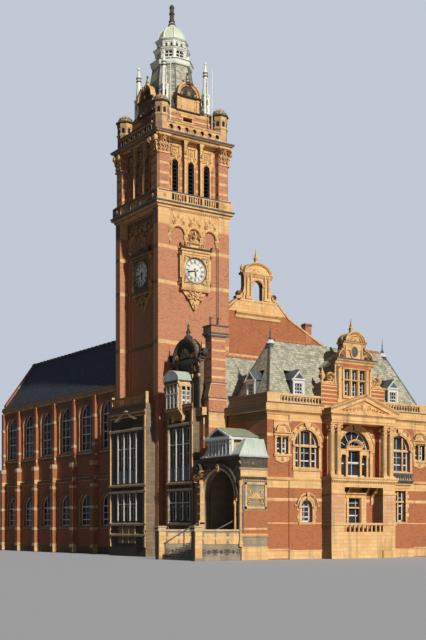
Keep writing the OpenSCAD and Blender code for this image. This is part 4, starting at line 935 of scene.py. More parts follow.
# Street wing: bay dressings, frontispiece, attic gable and roofs
stoneBm, carveBm, brickBm, darkBm = (bmesh.new() for k in range(4))
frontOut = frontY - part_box("front_piers")[0][1] - 0.09
pierW = 0.67
frontHalf = 1.68
sill = [(0, -0.14), (0.08, -0.1), (0.1, -0.04), (0, 0)]
stringCourse = [(0, 3.0), (0.06, 3.03), (0.09, 3.08), (0.09, 3.11), (0, 3.14)]


def wallPlate(bm, place, u, z, out, *holes):
    # A facing left open at holes of (u, z, width, height, curved)
    left = u[0]
    for mid, low, w, h, curved in sorted(holes):
        head = [(mid + x, y) for x, y in archHead(w / 2, low + h)] if curved else []
        slab(bm, place, (left, mid - w / 2), out, z)
        slab(bm, place, around(mid, w / 2), out, (z[0], low))
        sides = [(mid + w / 2, low + h), (mid + w / 2, z[1]), (mid - w / 2, z[1])]
        plate(bm, place, [(mid - w / 2, low + h), *head, *sides], out)
        left = mid + w / 2
    slab(bm, place, (left, u[1]), out, z)


def segment(bm, place, r, wide, out, turn=(0, 180), steps=12):
    # A moulded arch about a place, its inner radius r
    profile = [(r, 0), (r, out * 0.6), (r + wide * 0.35, out * 0.75), (r + wide * 0.5, out),
               (r + wide, out), (r + wide, 0)]
    arch(bm, place, profile, turn, steps)


def sideBay(u):
    # Two lights under a segmental hood
    spot = at(wing, u, 4.02)
    slab(stoneBm, spot, 0.03, (-0.16, 0.0), 0.64)
    for su in (-1, 1):
        slab(stoneBm, spot, span(su, 0.28, 0.37), (-0.1, 0.05), (-0.02, 0.68))
        slab(stoneBm, spot, span(su, 0.27, 0.39), (-0.1, 0.08), (0.6, 0.68))
        carve(volute, spot, su * 0.33, 0.86, 0.03, (su * 0.16, 0.5, 0.16))
        carve(leaf, spot, su * 0.2, -0.12, 0.03, (0.16, 0.2, 0.2), su * 2.2)
    moulding(stoneBm, spot, 0.42,
             [(0, 0.68), (0.06, 0.7), (0.07, 0.76), (0.13, 0.8), (0.13, 0.83), (0, 0.85)])
    segment(stoneBm, at(spot, 0, 0.84), 0.25, 0.09, 0.13)
    plate(stoneBm, at(spot, 0, 0.84), [(-0.26, 0)] + archHead(0.26, 0) + [(0.26, 0)], 0.04)
    carve(shell, spot, 0, 0.86, 0.04, (0.36, 0.3, 0.34))
    slab(stoneBm, spot, 0.4, 0.035, (0.84, 1.28))
    moulding(stoneBm, spot, 0.42, [(0, 1.2), (0.05, 1.22), (0.07, 1.28), (0, 1.28)])
    moulding(stoneBm, spot, 0.42, [(0, -0.12), (0.06, -0.09), (0.09, -0.03), (0.09, 0.0), (0, 0.0)])
    plate(stoneBm, spot, [(-0.36, -0.12), (-0.3, -0.26), (0, -0.34), (0.3, -0.26), (0.36, -0.12)], 0.04)
    carve(flower, spot, 0, -0.2, 0.05, (0.2, 0.2, 0.17))


def archedBay(u):
    # A wide arched window of three lights with rusticated head
    spot = at(wing, u, 3.5)
    high = 0.9125
    r = 0.5875
    for k in (-1, 1):
        slab(stoneBm, spot, around(k * 0.26, 0.035), (-0.2, -0.04), high + 0.5)
        slab(stoneBm, spot, span(k, r, r + 0.11), 0.08, (-0.08, high))
        stamp(stoneBm, impostBlock, at(spot, k * (r + 0.055), high - 0.1, 0.06))
    slab(stoneBm, spot, r, (-0.2, -0.03), (0.83, 0.91))
    slab(stoneBm, spot, r, (-0.2, -0.06), 0.05)
    segment(stoneBm, at(spot, 0, high), r, 0.12, 0.08)
    for k in range(-3, 4):
        wide = 0.11 if k else 0.15
        tall = 0.2 if k % 2 else 0.25
        head = [(-wide * 0.75, r + 0.1), (wide * 0.75, r + 0.1), (wide, r + tall), (-wide, r + tall)]
        plate(stoneBm, at(spot, 0, high) @ degY(24 * k), head, 0.075 if k else 0.13)
    segment(stoneBm, at(spot, 0, high), r + 0.24, 0.05, 0.09, (8, 172))
    carve(leaf, spot, 0, high + r - 0.02, 0.12, (0.2, 0.2, 0.3))
    moulding(stoneBm, spot, 0.72, [(0, -0.13), (0.08, -0.1), (0.11, -0.04), (0.11, 0), (0, 0.02)])
    slab(stoneBm, spot, 0.66, 0.06, (-0.38, -0.13))


def nicheSurround(u):
    spot = at(wing, u, 1.43)
    for su in (-1, 1):
        slab(stoneBm, spot, span(su, 0.26, 0.38), 0.09, (-0.08, 0.6))
        for k in range(4):
            slab(stoneBm, spot, span(su, 0.38, 0.48 if k % 2 else 0.43), 0.07,
                 (0.15 * k - 0.02, 0.15 * k + 0.11))
        stamp(stoneBm, impostBlock, at(spot, su * 0.36, 0.52, 0.06))
        slab(stoneBm, spot, span(su, 0.5, 0.62), 0.1, (0.6, 0.66))
    segment(stoneBm, at(spot, 0, 0.6), 0.26, 0.14, 0.1)
    segment(stoneBm, at(spot, 0, 0.6), 0.46, 0.07, 0.13)
    plate(stoneBm, at(spot, 0, 0.6), [(-0.04, 0.24), (0.04, 0.24), (0.07, 0.56), (-0.07, 0.56)], 0.16)
    moulding(stoneBm, spot, 0.42, sill)


def squareBay(u):
    # The tall window on the right: quoined jambs, transom and balconette
    spot = at(wing, u, 1.46)
    for su in (-1, 1):
        for k in range(7):
            reach = 0.52 if k % 2 else 0.44
            slab(stoneBm, spot, span(su, 0.34, reach), 0.08, (0.19 * k + 0.01, 0.19 * k + 0.18))
        carve(volute, spot, su * 0.42, 1.66, 0.05, (su * 0.2, 0.6, -0.26))
    slab(stoneBm, spot, 0.33, (-0.2, -0.02), (0.78, 0.85))
    slab(stoneBm, spot, 0.03, (-0.2, -0.04), 1.3)
    moulding(stoneBm, spot, 0.56,
             [(0, 1.34), (0.08, 1.36), (0.1, 1.46), (0.2, 1.52), (0.2, 1.56), (0, 1.58)])
    moulding(stoneBm, spot, 0.44, sill)
    box = at(wing, u, 3.08)
    moulding(darkBm, box, 0.62, [(0, -0.12), (0.2, -0.04), (0.26, 0.04), (0.26, 0.08), (0, 0.08)])
    for k in range(9):
        stamp(darkBm, drop, at(box, -0.52 + 0.13 * k, 0.2, 0.22) @ grow(1.1, 1.1, 2.0))
    slab(darkBm, box, 0.62, (0.17, 0.26), (0.3, 0.36))


def facing():
    # The shallow break forward of the arched bays, the plinth and the string courses
    for side in (-1, 1):
        u = sorted((wingMid + side * frontHalf, wingMid + side * 3.3))
        mid = wingMid + side * 2.445
        low = (mid, 1.43, 0.52, 0.6, True) if side < 0 else (mid, 1.46, 0.68, 1.3, False)
        wallPlate(brickBm, wing, u, (0.35, 2.73), (0, 0.045), low)
        wallPlate(brickBm, wing, u, (3.12, 5.3), (0, 0.045), (mid, 3.5, 1.175, 0.9125, True))
        slab(stoneBm, wing, u, 0.06, 0.35)
        slab(stoneBm, wing, u, 0.055, (2.73, 3.02))
        slab(stoneBm, wing, u, 0.055, (5.3, 5.55))
        ends = sorted((wingMid + side * frontHalf, wingMid + side * 4.325))
        mitre = (1, 0) if side < 0 else (0, 1)
        moulding(stoneBm, wing, ends, stringCourse, mitre)
        bed = [(0, 5.5), (0.04, 5.52), (0.06, 5.58), (0.13, 5.62), (0.15, 5.66), (0, 5.66)]
        moulding(stoneBm, wing, ends, bed, mitre)
        # A dark lead lip on the cornice: partly lead, partly a painted shadow line along the cornice
        moulding(darkBm, wing, (ends[0] - 0.18 * (side < 0), ends[1] + 0.18 * (side > 0)),
                 [(0.18, 5.93), (0.215, 5.94), (0.215, 5.96), (0.02, 5.98), (0.02, 5.95)])
        slab(stoneBm, wing, ends, 0.03, (0.35, 0.41))
    for profile in (stringCourse, [(0, 5.5), (0.06, 5.58), (0.15, 5.66), (0, 5.66)]):
        moulding(stoneBm, endWall, (frontY, 0.55), profile, (1, 0))
    for y, z in endLights:
        slab(stoneBm, at(endWall, y, z), 0.4, 0.05, (1.3, 1.45))
        slab(stoneBm, at(endWall, y, z), 0.36, 0.07, (-0.08, 0))


def lowerFront():
    # Piers, dentils and the window between them
    spot = at(wing, wingMid, 0)
    face = frontOut
    run = (-frontHalf - 0.03, frontHalf + 0.03)
    for side in (-1, 1):
        mid = side * (frontHalf - pierW / 2)
        half = pierW / 2
        for z, reach in (((1.3, 1.4), 0.04), (0.3, 0.05), ((2.52, 2.6), 0.04)):
            slab(stoneBm, spot, (mid - half - 0.03, mid + half + 0.03), (0.1, face + reach), z)
        for k in range(6):
            z = 1.42 + 0.183 * k
            slab(pinkBm, spot, (mid - half - 0.012, mid + half + 0.012), (0.02, face + 0.014),
                 (z, z + 0.165))
        inner = mid - side * half
        console = [(0, 2.1), (0.05, 2.14), (0.08, 2.3), (0.06, 2.42), (0.16, 2.55), (0.34, 2.7),
                   (0.36, 2.9), (0, 2.9)]
        moulding(stoneBm, spot, sorted((inner, inner - side * 0.14)), console)
        stamp(carveBm, volute,
              at(spot, inner - side * 0.1, 2.62, 0.3) @ turnZ(math.pi / 2) @ grow(0.22, 0.5, 0.24))
        moulding(stoneBm, spot, span(side, 0.44, 0.54), console)
    band = [(0, 2.98), (0.02, 3.0), (0.05, 3.03), (0.05, 3.06), (0, 3.06)]
    moulding(stoneBm, at(spot, 0, 0, face), run, band)
    moulding(stoneBm, at(spot, 0, 0, face + 0.09), (-frontHalf - 0.1, frontHalf + 0.1),
             [(0, 3.1), (0.03, 3.13), (0.03, 3.2), (0, 3.2)])
    for k in range(38):
        u = -frontHalf + 0.05 + k * (2 * frontHalf - 0.1) / 37
        slab(stoneBm, spot, around(u, 0.022), (face, face + 0.06), (2.97, 3.035))
    hole = (0, 1.32, 0.62, 1.06, False)
    wallPlate(stoneBm, spot, (-0.65, 0.65), (1.2, 2.7), (-0.1, 0.03), hole)
    for su in (-1, 1):
        slab(stoneBm, spot, span(su, 0.33, 0.43), (0.03, 0.09), (1.26, 2.4))
    moulding(stoneBm, spot, 0.5,
             [(0.03, 2.38), (0.1, 2.4), (0.1, 2.5), (0.2, 2.56), (0.2, 2.6), (0.03, 2.62)])
    moulding(stoneBm, spot, 0.46, [(0.03, 1.2), (0.1, 1.23), (0.13, 1.3), (0.03, 1.33)])
    slab(stoneBm, spot, 0.31, (-0.16, -0.02), (1.98, 2.04))


def upperFront():
    # Great arch, its inner window, columns and pediment
    spot = at(wing, wingMid, 0)
    spring = 4.3
    head = at(spot, 0, spring)
    segment(stoneBm, head, 0.8, 0.2, 0.09)
    segment(stoneBm, head, 0.97, 0.06, 0.12)
    plate(stoneBm, head, [(-0.08, 0.78), (0.08, 0.78), (0.13, 1.0), (-0.13, 1.0)], 0.17)
    carve(leaf, head, 0, 0.8, 0.16, (0.16, 0.2, 0.2))
    for k in range(-4, 5):
        if k:
            slab(stoneBm, head @ degY(20 * k), 0.012, (0.08, 0.1), (0.82, 0.98))
    for su in (-1, 1):
        slab(stoneBm, spot, span(su, 0.8, 0.95), 0.08, (3.2, spring))
        moulding(stoneBm, spot, span(su, 0.78, 1.02), [(0, 4.2), (0.1, 4.23), (0.13, 4.3), (0, 4.32)])
        carve(flower, head, su * 0.9, 0.75, 0.01, (0.3, 0.2, 0.3))
        carve(leaf, head, su * 0.98, 0.5, 0.01, (0.24, 0.2, 0.3), su * 2.5)
        for u in (0.37, 0.72):
            slab(stoneBm, spot, span(su, u - 0.05, u + 0.05), (-0.12, 0.02), (3.25, 4.12))
            slab(stoneBm, spot, span(su, u - 0.065, u + 0.065), (-0.12, 0.04), (4.02, 4.12))
        slab(stoneBm, spot, span(su, 0.3, 0.8), (-0.12, 0.03), (4.12, 4.3))
        moulding(stoneBm, spot, span(su, 0.3, 0.8), [(0, 4.26), (0.06, 4.29), (0.08, 4.34), (0, 4.34)])
    slab(stoneBm, spot, 0.42, (-0.1, 0.06), (4.3, 4.42))
    slab(trimBm, spot, 0.32, (-0.14, -0.08), (3.78, 3.84))
    hood = at(spot, 0, 4.22)
    segment(stoneBm, hood, 0.43, 0.08, 0.15, (32, 148))
    moulding(stoneBm, spot, 0.47, [(0, 4.4), (0.1, 4.42), (0.13, 4.47), (0, 4.48)])
    for k in (1.22, 1.545):
        for su in (-1, 1):
            column = at(spot, su * k, 0, frontOut - 0.17)
            stamp(stoneBm, columnBase, column @ move(0, 0, 3.27))
            for turn in range(4):
                quarter = column @ degZ(90 * turn) @ move(0, 0, 5.02)
                for v in (-1, 1):
                    carve(volute, quarter, v * 0.09, 0.06, 0.11, (v * 0.12, 0.4, 0.12))
                carve(leaf, quarter, 0, -0.06, 0.1, (0.12, 0.2, 0.16))
                for v in (-0.08, 0.08):
                    carve(leaf, quarter, v, -0.1, 0.08, (0.1, 0.2, 0.13))
            for turn in range(12):
                slab(stoneBm, column @ degZ(30 * turn), 0.011, (0.11, 0.122), (3.45, 4.9))
    face = at(spot, 0, 0, frontOut)
    moulding(stoneBm, face, frontHalf,
             [(0, 5.3), (0.015, 5.3), (0.015, 5.37), (0.03, 5.39), (0.03, 5.42), (0, 5.43)])
    moulding(stoneBm, face, (-frontHalf - 0.03, frontHalf + 0.03),
             [(0, 5.56), (0.04, 5.6), (0.1, 5.64), (0.1, 5.66), (0, 5.66)])
    for su in (-1, 1):
        rake = math.atan2(0.61, frontHalf + 0.08)
        tilt = face @ move(su * (frontHalf + 0.1), 0, 5.72) @ grow(-su, 1, 1)
        lean = tilt @ turnY(-rake)
        crown = [(-0.3, 0.02), (0.06, 0.02), (0.1, 0.05), (0.14, 0.1), (0.14, 0.13), (-0.3, 0.13)]
        moulding(stoneBm, lean, (0, (frontHalf + 0.1) / math.cos(rake)), crown)
        moulding(stoneBm, lean, (0.2, (frontHalf + 0.06) / math.cos(rake)),
                 [(0, -0.07), (0.02, -0.05), (0.05, 0.02), (0, 0.02)])
    tympanum = at(spot, 0, 5.94, frontOut - 0.02)
    bmesh.ops.create_icosphere(carveBm, subdivisions=2, radius=0.12, matrix=tympanum @ grow(1, 0.5, 1.15))
    for k in range(8):
        stamp(carveBm, leaf, tympanum @ degY(45 * k) @ move(0, 0, 0.1) @ grow(0.08, 0.12, 0.1))
    for su in (-1, 1):
        for k, size in enumerate((0.24, 0.2, 0.16, 0.12, 0.09)):
            u = (0.26, 0.48, 0.68, 0.86, 1.02)[k]
            flip = 1 if k % 2 else -1
            curl = at(tympanum, su * u, -0.04 - 0.03 * k - flip * size * 0.5)
            stamp(carveBm, volute, curl @ grow(su * size, 0.4, flip * size))
            carve(leaf, tympanum, su * (u + 0.06), -0.06 - 0.025 * k, 0, (size * 0.7, 0.15, size * 0.8),
                  su * 1.2)


impostBlock = turned("impost_block",
                     [(0, 0), (0.06, 0), (0.075, 0.03), (0.075, 0.06), (0.085, 0.09), (0, 0.09)], 4)
columnBase = turned("column_base", [(0, 0), (0.14, 0), (0.15, 0.03), (0.13, 0.06), (0.12, 0.09),
                                    (0.13, 0.12), (0.115, 0.15), (0.1, 0.15)], 20)
pinkBm, trimBm = (bmesh.new() for k in range(2))
for side in (-1, 1):
    sideBay(wingMid + side * 3.625)
    archedBay(wingMid + side * 2.445)
nicheSurround(wingLeft + 1.88)
squareBay(wingRight - 1.88)
facing()
lowerFront()
upperFront()


def ribbon(bm, place, corners, thick, out):
    # A coping along (u, z) corners
    for (u0, z0), (u1, z1) in zip(corners, corners[1:]):
        length = math.hypot(u1 - u0, z1 - z0)
        across = Vector((z0 - z1, u1 - u0)) / length * thick
        plate(bm, place,
              [(u0, z0), (u1, z1), (u1 + across.x, z1 + across.y), (u0 + across.x, z0 + across.y)], out)


def atticGable():
    spot = at(wing, wingMid, 0)
    base, body, top = eaves + 0.9, eaves + 1.825, eaves + 2.585
    for su in (-1, 1):
        for k in range(5):
            z = 6.02 + 0.16 * k
            slab(brickBm, spot, span(su, 0.89, 1.66), 0.014, (z, z + 0.095))
        moulding(stoneBm, spot, span(su, 0.92, 1.72),
                 [(0, base - 0.04), (0.05, base - 0.02), (0.07, base + 0.03), (0, base + 0.05)])
        stamp(stoneBm, urn, at(spot, su * 1.5, base + 0.03, -0.17))
        carve(volute, spot, su * 1.22, base + 0.03, -0.05, (-su * 0.5, 1.2, 0.5))
        carve(leaf, spot, su * 1.02, base + 0.06, 0.0, (0.26, 0.4, 0.42))
        slab(stoneBm, spot, span(su, 0.78, 0.86), (0.04, 0.09), (6.35, 7.62))
        stamp(stoneBm, colonnette, at(spot, su * 0.95, 6.9, -0.02))
        carve(leaf, spot, su * 0.82, 7.5, 0.1, (0.12, 0.2, 0.16))
    for u in (-0.6, -0.2, 0.2, 0.6):
        slab(stoneBm, spot, around(u, 0.04), (0.04, 0.085), (6.4, 7.56))
    slab(stoneBm, spot, 0.64, (0.04, 0.1), (6.34, 6.42))
    for z in (7.04, 7.5):
        moulding(stoneBm, spot, 0.66, [(0.04, z), (0.1, z + 0.01), (0.12, z + 0.06), (0.04, z + 0.07)])
    slab(brickBm, spot, 0.76, (0.04, 0.055), (7.58, 7.74))
    cornice = [(0.04, body - 0.1), (0.1, body - 0.06), (0.12, body), (0.2, body + 0.06),
               (0.21, body + 0.13), (0.04, body + 0.15)]
    moulding(stoneBm, spot, 1.04, cornice)
    moulding(darkBm, spot, 1.06,
             [(0.02, body + 0.14), (0.235, body + 0.1), (0.24, body + 0.15), (0.02, body + 0.19)])
    for su in (-1, 1):
        hood = at(spot, su * 0.55, body + 0.14)
        segment(stoneBm, hood, 0.3, 0.07, 0.16, (4, 84) if su > 0 else (96, 176))
        carve(volute, spot, su * 0.72, body + 0.13, 0.02, (-su * 0.24, 0.8, 0.24))
        carve(leaf, spot, su * 0.62, body + 0.4, 0.02, (0.24, 0.5, 0.32), -su * 0.3)
        slab(stoneBm, spot, span(su, 0.37, 0.46), 0.05, (body + 0.14, top - 0.03))
        carve(flower, spot, su * 0.28, body + 0.62, 0.01, (0.13, 0.2, 0.13))
    oval = at(spot, 0, body + 0.45) @ grow(0.86, 1, 1.16)
    hoop(stoneBm, oval, [(0.17, 0), (0.17, 0.03), (0.2, 0.07), (0.24, 0.05), (0.25, 0)], 12)
    disc = [(0.175 * math.cos(math.tau * k / 20), 0.175 * math.sin(math.tau * k / 20)) for k in range(20)]
    plate(darkBm, oval, disc, 0.055)
    stamp(carveBm, flower, oval @ move(0, -0.06, 0) @ grow(0.07, 0.12, 0.09))
    carve(shell, spot, 0, body + 0.16, 0.02, (0.26, 0.3, -0.16))
    moulding(stoneBm, spot, 0.6, [(0, top - 0.12), (0.05, top - 0.09), (0.07, top), (0.12, top + 0.05),
                                  (0.12, top + 0.09), (0, top + 0.1)])
    moulding(darkBm, spot, 0.61,
             [(0.02, top + 0.09), (0.135, top + 0.075), (0.135, top + 0.095), (0.02, top + 0.12)])
    crown = at(spot, 0, top + 0.09) @ grow(1, 1, 0.75)
    segment(stoneBm, crown, 0.42, 0.12, 0.15)
    segment(stoneBm, crown, 0.3, 0.04, 0.09)
    carve(shell, crown, 0, 0.02, 0.05, (0.5, 0.4, 0.5))
    stamp(stoneBm, spike, at(spot, 0, 8.98, -0.16))
    for su in (-1, 1):
        stamp(stoneBm, spike, at(spot, su * 0.5, top + 0.08, -0.12) @ grow(0.5, 0.5, 0.4))


def ridgeTiles(start, end, z):
    # Round ridge tiles with raised joints
    length = (Vector(end) - Vector(start)).length
    count = round(length / 0.23)
    points, taper = [], []
    for k in range(count):
        for part, size in ((0.0, 1.25), (0.2, 1.25), (0.25, 1.0), (0.95, 1.0)):
            spot = Vector(start).lerp(Vector(end), (k + part) / count)
            points.append((spot.x, spot.y, z))
            taper.append(size)
    tube(tileBm, Matrix(), points, 0.055, taper, 2)


def roofs():
    middle = (frontY + 0.22 + wingBack) / 2
    top = eaves + 2.7
    ends = (wingLeft + 1.325, wingRight - 1.325)
    ridgeTiles((ends[0] + 0.2, middle), (wingMid - 1.0, middle), top + 0.01)
    ridgeTiles((wingMid + 1.0, middle), (ends[1] - 0.2, middle), top + 0.01)
    ridgeTiles((0.6, wingBack / 2), (wingRight - 0.3, wingBack / 2), eaves + 2.41)
    hips = [((wingLeft + 0.22, frontY + 0.22), ends[0]), ((wingRight - 0.22, frontY + 0.22), ends[1]),
            ((wingLeft + 0.22, wingBack), ends[0]), ((wingRight - 0.22, wingBack), ends[1])]
    for (x, y), high in hips:
        tube(leadBm, Matrix(), [(x, y, eaves + 0.02), (high, middle, top + 0.02)], 0.03, None, 1)
    for x in ends:
        stamp(leadBm, roofFinial, move(x, middle, top) @ grow(0.5, 0.5, 1))
        stamp(trimBm, finialRing, move(x, middle, top))


def dormer(place):
    # The place is the middle of its foot on the front face
    for su in (-1, 1):
        slab(darkBm, place, span(su, 0.278, 0.292), (-0.88, -0.02), 0.69)
        for bm, reach, lift in ((darkBm, (-0.89, 0.05), 0.015), (trimBm, (0.03, 0.075), -0.035)):
            edge = [(su * 0.36, 0.66 + lift), (0, 1.06 + lift), (0, 1.09 + lift),
                    (su * 0.385, 0.665 + lift)]
            plate(bm, place, edge, reach)
        slab(trimBm, place, span(su, 0.2, 0.28), 0.02, 0.66)
    moulding(trimBm, place, 0.36, [(0, 0.64), (0.04, 0.66), (0.07, 0.69), (0.07, 0.71), (0, 0.72)])
    plate(darkBm, place, [(-0.22, 0.74), (0.22, 0.74), (0, 0.97)], (0.045, 0.05))
    slab(trimBm, place, 0.3, 0.05, (0.06, 0.12))


def belt(bm, x, y, z, out):
    size = (x[1] - x[0] + 2 * out, y[1] - y[0] + 2 * out, z[1] - z[0])
    middle = move(sum(x) / 2, sum(y) / 2, sum(z) / 2)
    bmesh.ops.create_cube(bm, size=1, matrix=middle @ grow(*size))


def chimneyStack():
    x, y = (0.485, 1.15), (-3.25, -2.8)
    for bm, z, out in ((stoneBm, (6.86, 6.92), 0.03), (darkBm, (6.92, 6.95), 0.05),
                       (darkBm, (8.74, 8.8), 0.04), (darkBm, (8.84, 8.9), 0.1), (darkBm, (9.15, 9.19), 0.1),
                       (stoneBm, (8.8, 8.84), 0.06)):
        belt(bm, x, y, z, out)
    front = wallPlace("front", 0, -3.25)
    foliage(darkBm, at(front, 0.82, 8.79, 0.02), 0.6, 0.1, 0.03)
    ribbon(stoneBm, front, [(0.34, 6.38), (0.475, 6.9)], 0.03, (-0.3, 0.02))
    for pot in (0.64, 1.0):
        stamp(brickBm, chimneyPot, move(pot, -3.025, 9.15) @ grow(0.85, 0.85, 1))
    for z in (5.75, 6.3):
        belt(darkBm, (0.35, 1.2), (-3.25, -2.95), (z, z + 0.04), 0.035)
        belt(stoneBm, (0.35, 1.2), (-3.25, -2.95), (z - 0.07, z), 0.02)


def hallFront():
    # Copings, bellcote and stack of the hall's gable
    gable = wallPlace("front", 0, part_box("hall_gable")[0][1])
    edge = [(wingMid + 1.15, 11.3), (wingMid + 1.7, 10.75), (wingRight - 0.7, 9.75),
            (wingRight + 0.02, 9.5)]
    ribbon(stoneBm, gable, edge, 0.07, (-0.29, 0.05))
    ribbon(stoneBm, gable, [(towerWide, 10.65), (wingMid - 1.15, 11.3)], 0.07, (-0.29, 0.05))
    for su in (-1, 1):
        plate(stoneBm, gable, [(wingMid + su * 0.7, 10.8), (wingMid + su * 1.62, 10.8),
                               (wingMid + su * 1.12, 11.3), (wingMid + su * 0.7, 11.3)], 0.025)
    moulding(stoneBm, gable, around(wingMid, 1.25),
             [(0, 10.5), (0.06, 10.54), (0.08, 10.66), (0.16, 10.74), (0.16, 10.8), (0, 10.84)])
    slab(stoneBm, gable, around(wingMid, 1.0), 0.03, (10.84, 11.3))
    spot = at(gable, wingMid, 11.39)
    for su in (-1, 1):
        for u in (0.39, 0.6):
            stamp(stoneBm, colonnette, at(spot, su * u, 0.14, 0.03) @ grow(1, 1, 1.15))
        slab(stoneBm, spot, span(su, 0.33, 0.68), 0.09, (0.02, 0.14))
        carve(volute, spot, su * 0.95, 0.02, -0.1, (-su * 0.4, 1.6, 0.4))
        stamp(stoneBm, urn, at(spot, su * 0.78, 1.21, -0.13) @ grow(0.6, 0.6, 0.6))
    segment(stoneBm, at(spot, 0, 0.62), 0.28, 0.08, 0.05)
    moulding(stoneBm, spot, 0.8,
             [(0, 1.0), (0.05, 1.04), (0.07, 1.1), (0.13, 1.16), (0.13, 1.21), (0, 1.23)])
    crown = at(spot, 0, 1.21) @ grow(1, 1, 0.62)
    segment(stoneBm, crown, 0.66, 0.12, 0.1)
    carve(shell, crown, 0, 0.05, 0.02, (0.6, 0.3, 0.7))
    stamp(stoneBm, spike, at(spot, 0, 1.68, -0.125) @ grow(1, 1, 1.1))
    stack = ((wingRight - 1.55, wingRight - 1.25), (0.6, 0.85))
    belt(darkBm, *stack, (10.56, 10.62), 0.05)
    belt(tileBm, *stack, (9.75, 10.56), 0.025)
    belt(tileBm, *stack, (10.62, 10.68), 0.03)


urn = turned("urn", [(0, 0), (0.11, 0), (0.11, 0.06), (0.05, 0.1), (0.05, 0.14), (0.12, 0.24), (0.13, 0.34),
                     (0.08, 0.4), (0.1, 0.43), (0.05, 0.5), (0.03, 0.56), (0.045, 0.6), (0, 0.65)], 10)
colonnette = turned("colonnette", [(0, 0), (0.06, 0), (0.06, 0.05), (0.045, 0.08), (0.042, 0.68),
                                   (0.055, 0.7), (0.045, 0.73), (0.07, 0.8), (0.07, 0.84), (0, 0.84)], 10)
spike = turned("spike", [(0, -0.05), (0.09, -0.05), (0.1, 0.04), (0.05, 0.09), (0.09, 0.16), (0.1, 0.21),
                         (0.05, 0.28), (0.06, 0.32), (0.03, 0.42), (0.012, 0.6), (0, 0.62)], 10)
finialRing = turned("finial_ring", [(0.05, -0.16), (0.19, -0.16), (0.19, -0.12), (0.12, -0.07),
                                    (0.14, -0.02), (0.05, 0.02)], 8)
roofFinial = turned("roof_finial", [(0.34, -0.3), (0.2, -0.13), (0.24, -0.11), (0.13, 0.02), (0.17, 0.05),
                                    (0.06, 0.13), (0.035, 0.28), (0.06, 0.32), (0.025, 0.37), (0.01, 0.62),
                                    (0, 0.64)], 8)
chimneyPot = turned("chimney_pot", [(0.07, 0), (0.11, 0), (0.1, 0.06), (0.085, 0.3), (0.11, 0.33),
                                    (0.11, 0.38), (0.07, 0.38), (0.07, 0.05)], 14)
tileBm, leadBm = (bmesh.new() for k in range(2))
atticGable()
roofs()
for u in frontDormers:
    dormer(at(wing, u, eaves + 0.33, -0.38))
dormer(at(sideDormer, 0, eaves + 0.33))
chimneyStack()
hallFront()
piece("wing_dressings", stoneBm, stone, "stone")
piece("wing_carving", carveBm, carved, "stone")
piece("wing_brickwork", brickBm, brick["wing"], "brick")
piece("pier_courses", pinkBm, turretStone, "stone")
piece("lead_edges", darkBm, darkLead, "stone")
piece("dormer_trim", trimBm, white, "timber")
piece("ridge_tiles", tileBm, tile, "slate")
piece("roof_leads", leadBm, darkLead, "copper")
print("street wing made")


# West side: bays, oriel, gable, porch, window box, steps, side wing and doors
# The near-black stone gathered here is painted shade, on the side turned from the sun and under eaves
stoneBm, carveBm, shadedStoneBm, paleBm, stepBm = (bmesh.new() for k in range(5))
whiteBm, leadBm, brickBm, darkBm, sageBm = (bmesh.new() for k in range(5))
porch = {"front": -5.85, "back": -3.31, "arch": 4.47, "spring": 2.35, "radius": 1.05, "top": 3.86,
         "floor": 0.95}


def bayDressing(place, u):
    # White posts on the stone between the lights, sills, panels and strings
    mid = sum(u) / 2
    for k in range(4):
        spot = mid + lightPitch * (k - 1.5)
        slab(whiteBm, place, around(spot, 0.035), 0.03, (3.1, 5.2))
        slab(whiteBm, place, around(spot, 0.03), 0.03, (1.5, 2.65))
        slab(stoneBm, place, around(spot, 0.06), 0.015, (5.2, 5.32))
    for k in (-1, 0, 1):
        spot = mid + lightPitch * k
        slab(darkBm, place, around(spot, 0.2), 0.008, (3.1, 3.66))
        slab(stoneBm, place, around(spot, 0.19), 0.03, (0.55, 1.3))
        slab(whiteBm, place, around(spot, 0.2), (-0.1, 0.0), (2.2, 2.235))
        slab(whiteBm, place, around(spot, 0.2), (-0.1, 0.0), (4.55, 4.59))
    for z, reach in ((2.74, 0.08), (3.0, 0.13), (5.36, 0.07), (1.36, 0.06), (0.9, 0.07)):
        profile = [(0, z - 0.06), (reach * 0.5, z - 0.05), (reach, z), (reach, z + 0.035), (0, z + 0.06)]
        moulding(paleBm, place, u, profile, (-1, 1))
    moulding(stoneBm, place, u,
             [(0, 5.9), (0.06, 5.93), (0.08, 6.02), (0.14, 6.06), (0.14, 6.12), (0, 6.14)], (-1, 1))
    for su in (0, 1):
        edge = sorted((u[su], u[su] + (0.16 if su == 0 else -0.16)))
        slab(stoneBm, place, edge, 0.05, (0.4, 5.9))
        for z in (1.0, 2.9, 5.3):
            slab(stoneBm, place, edge, 0.075, (z, z + 0.12))


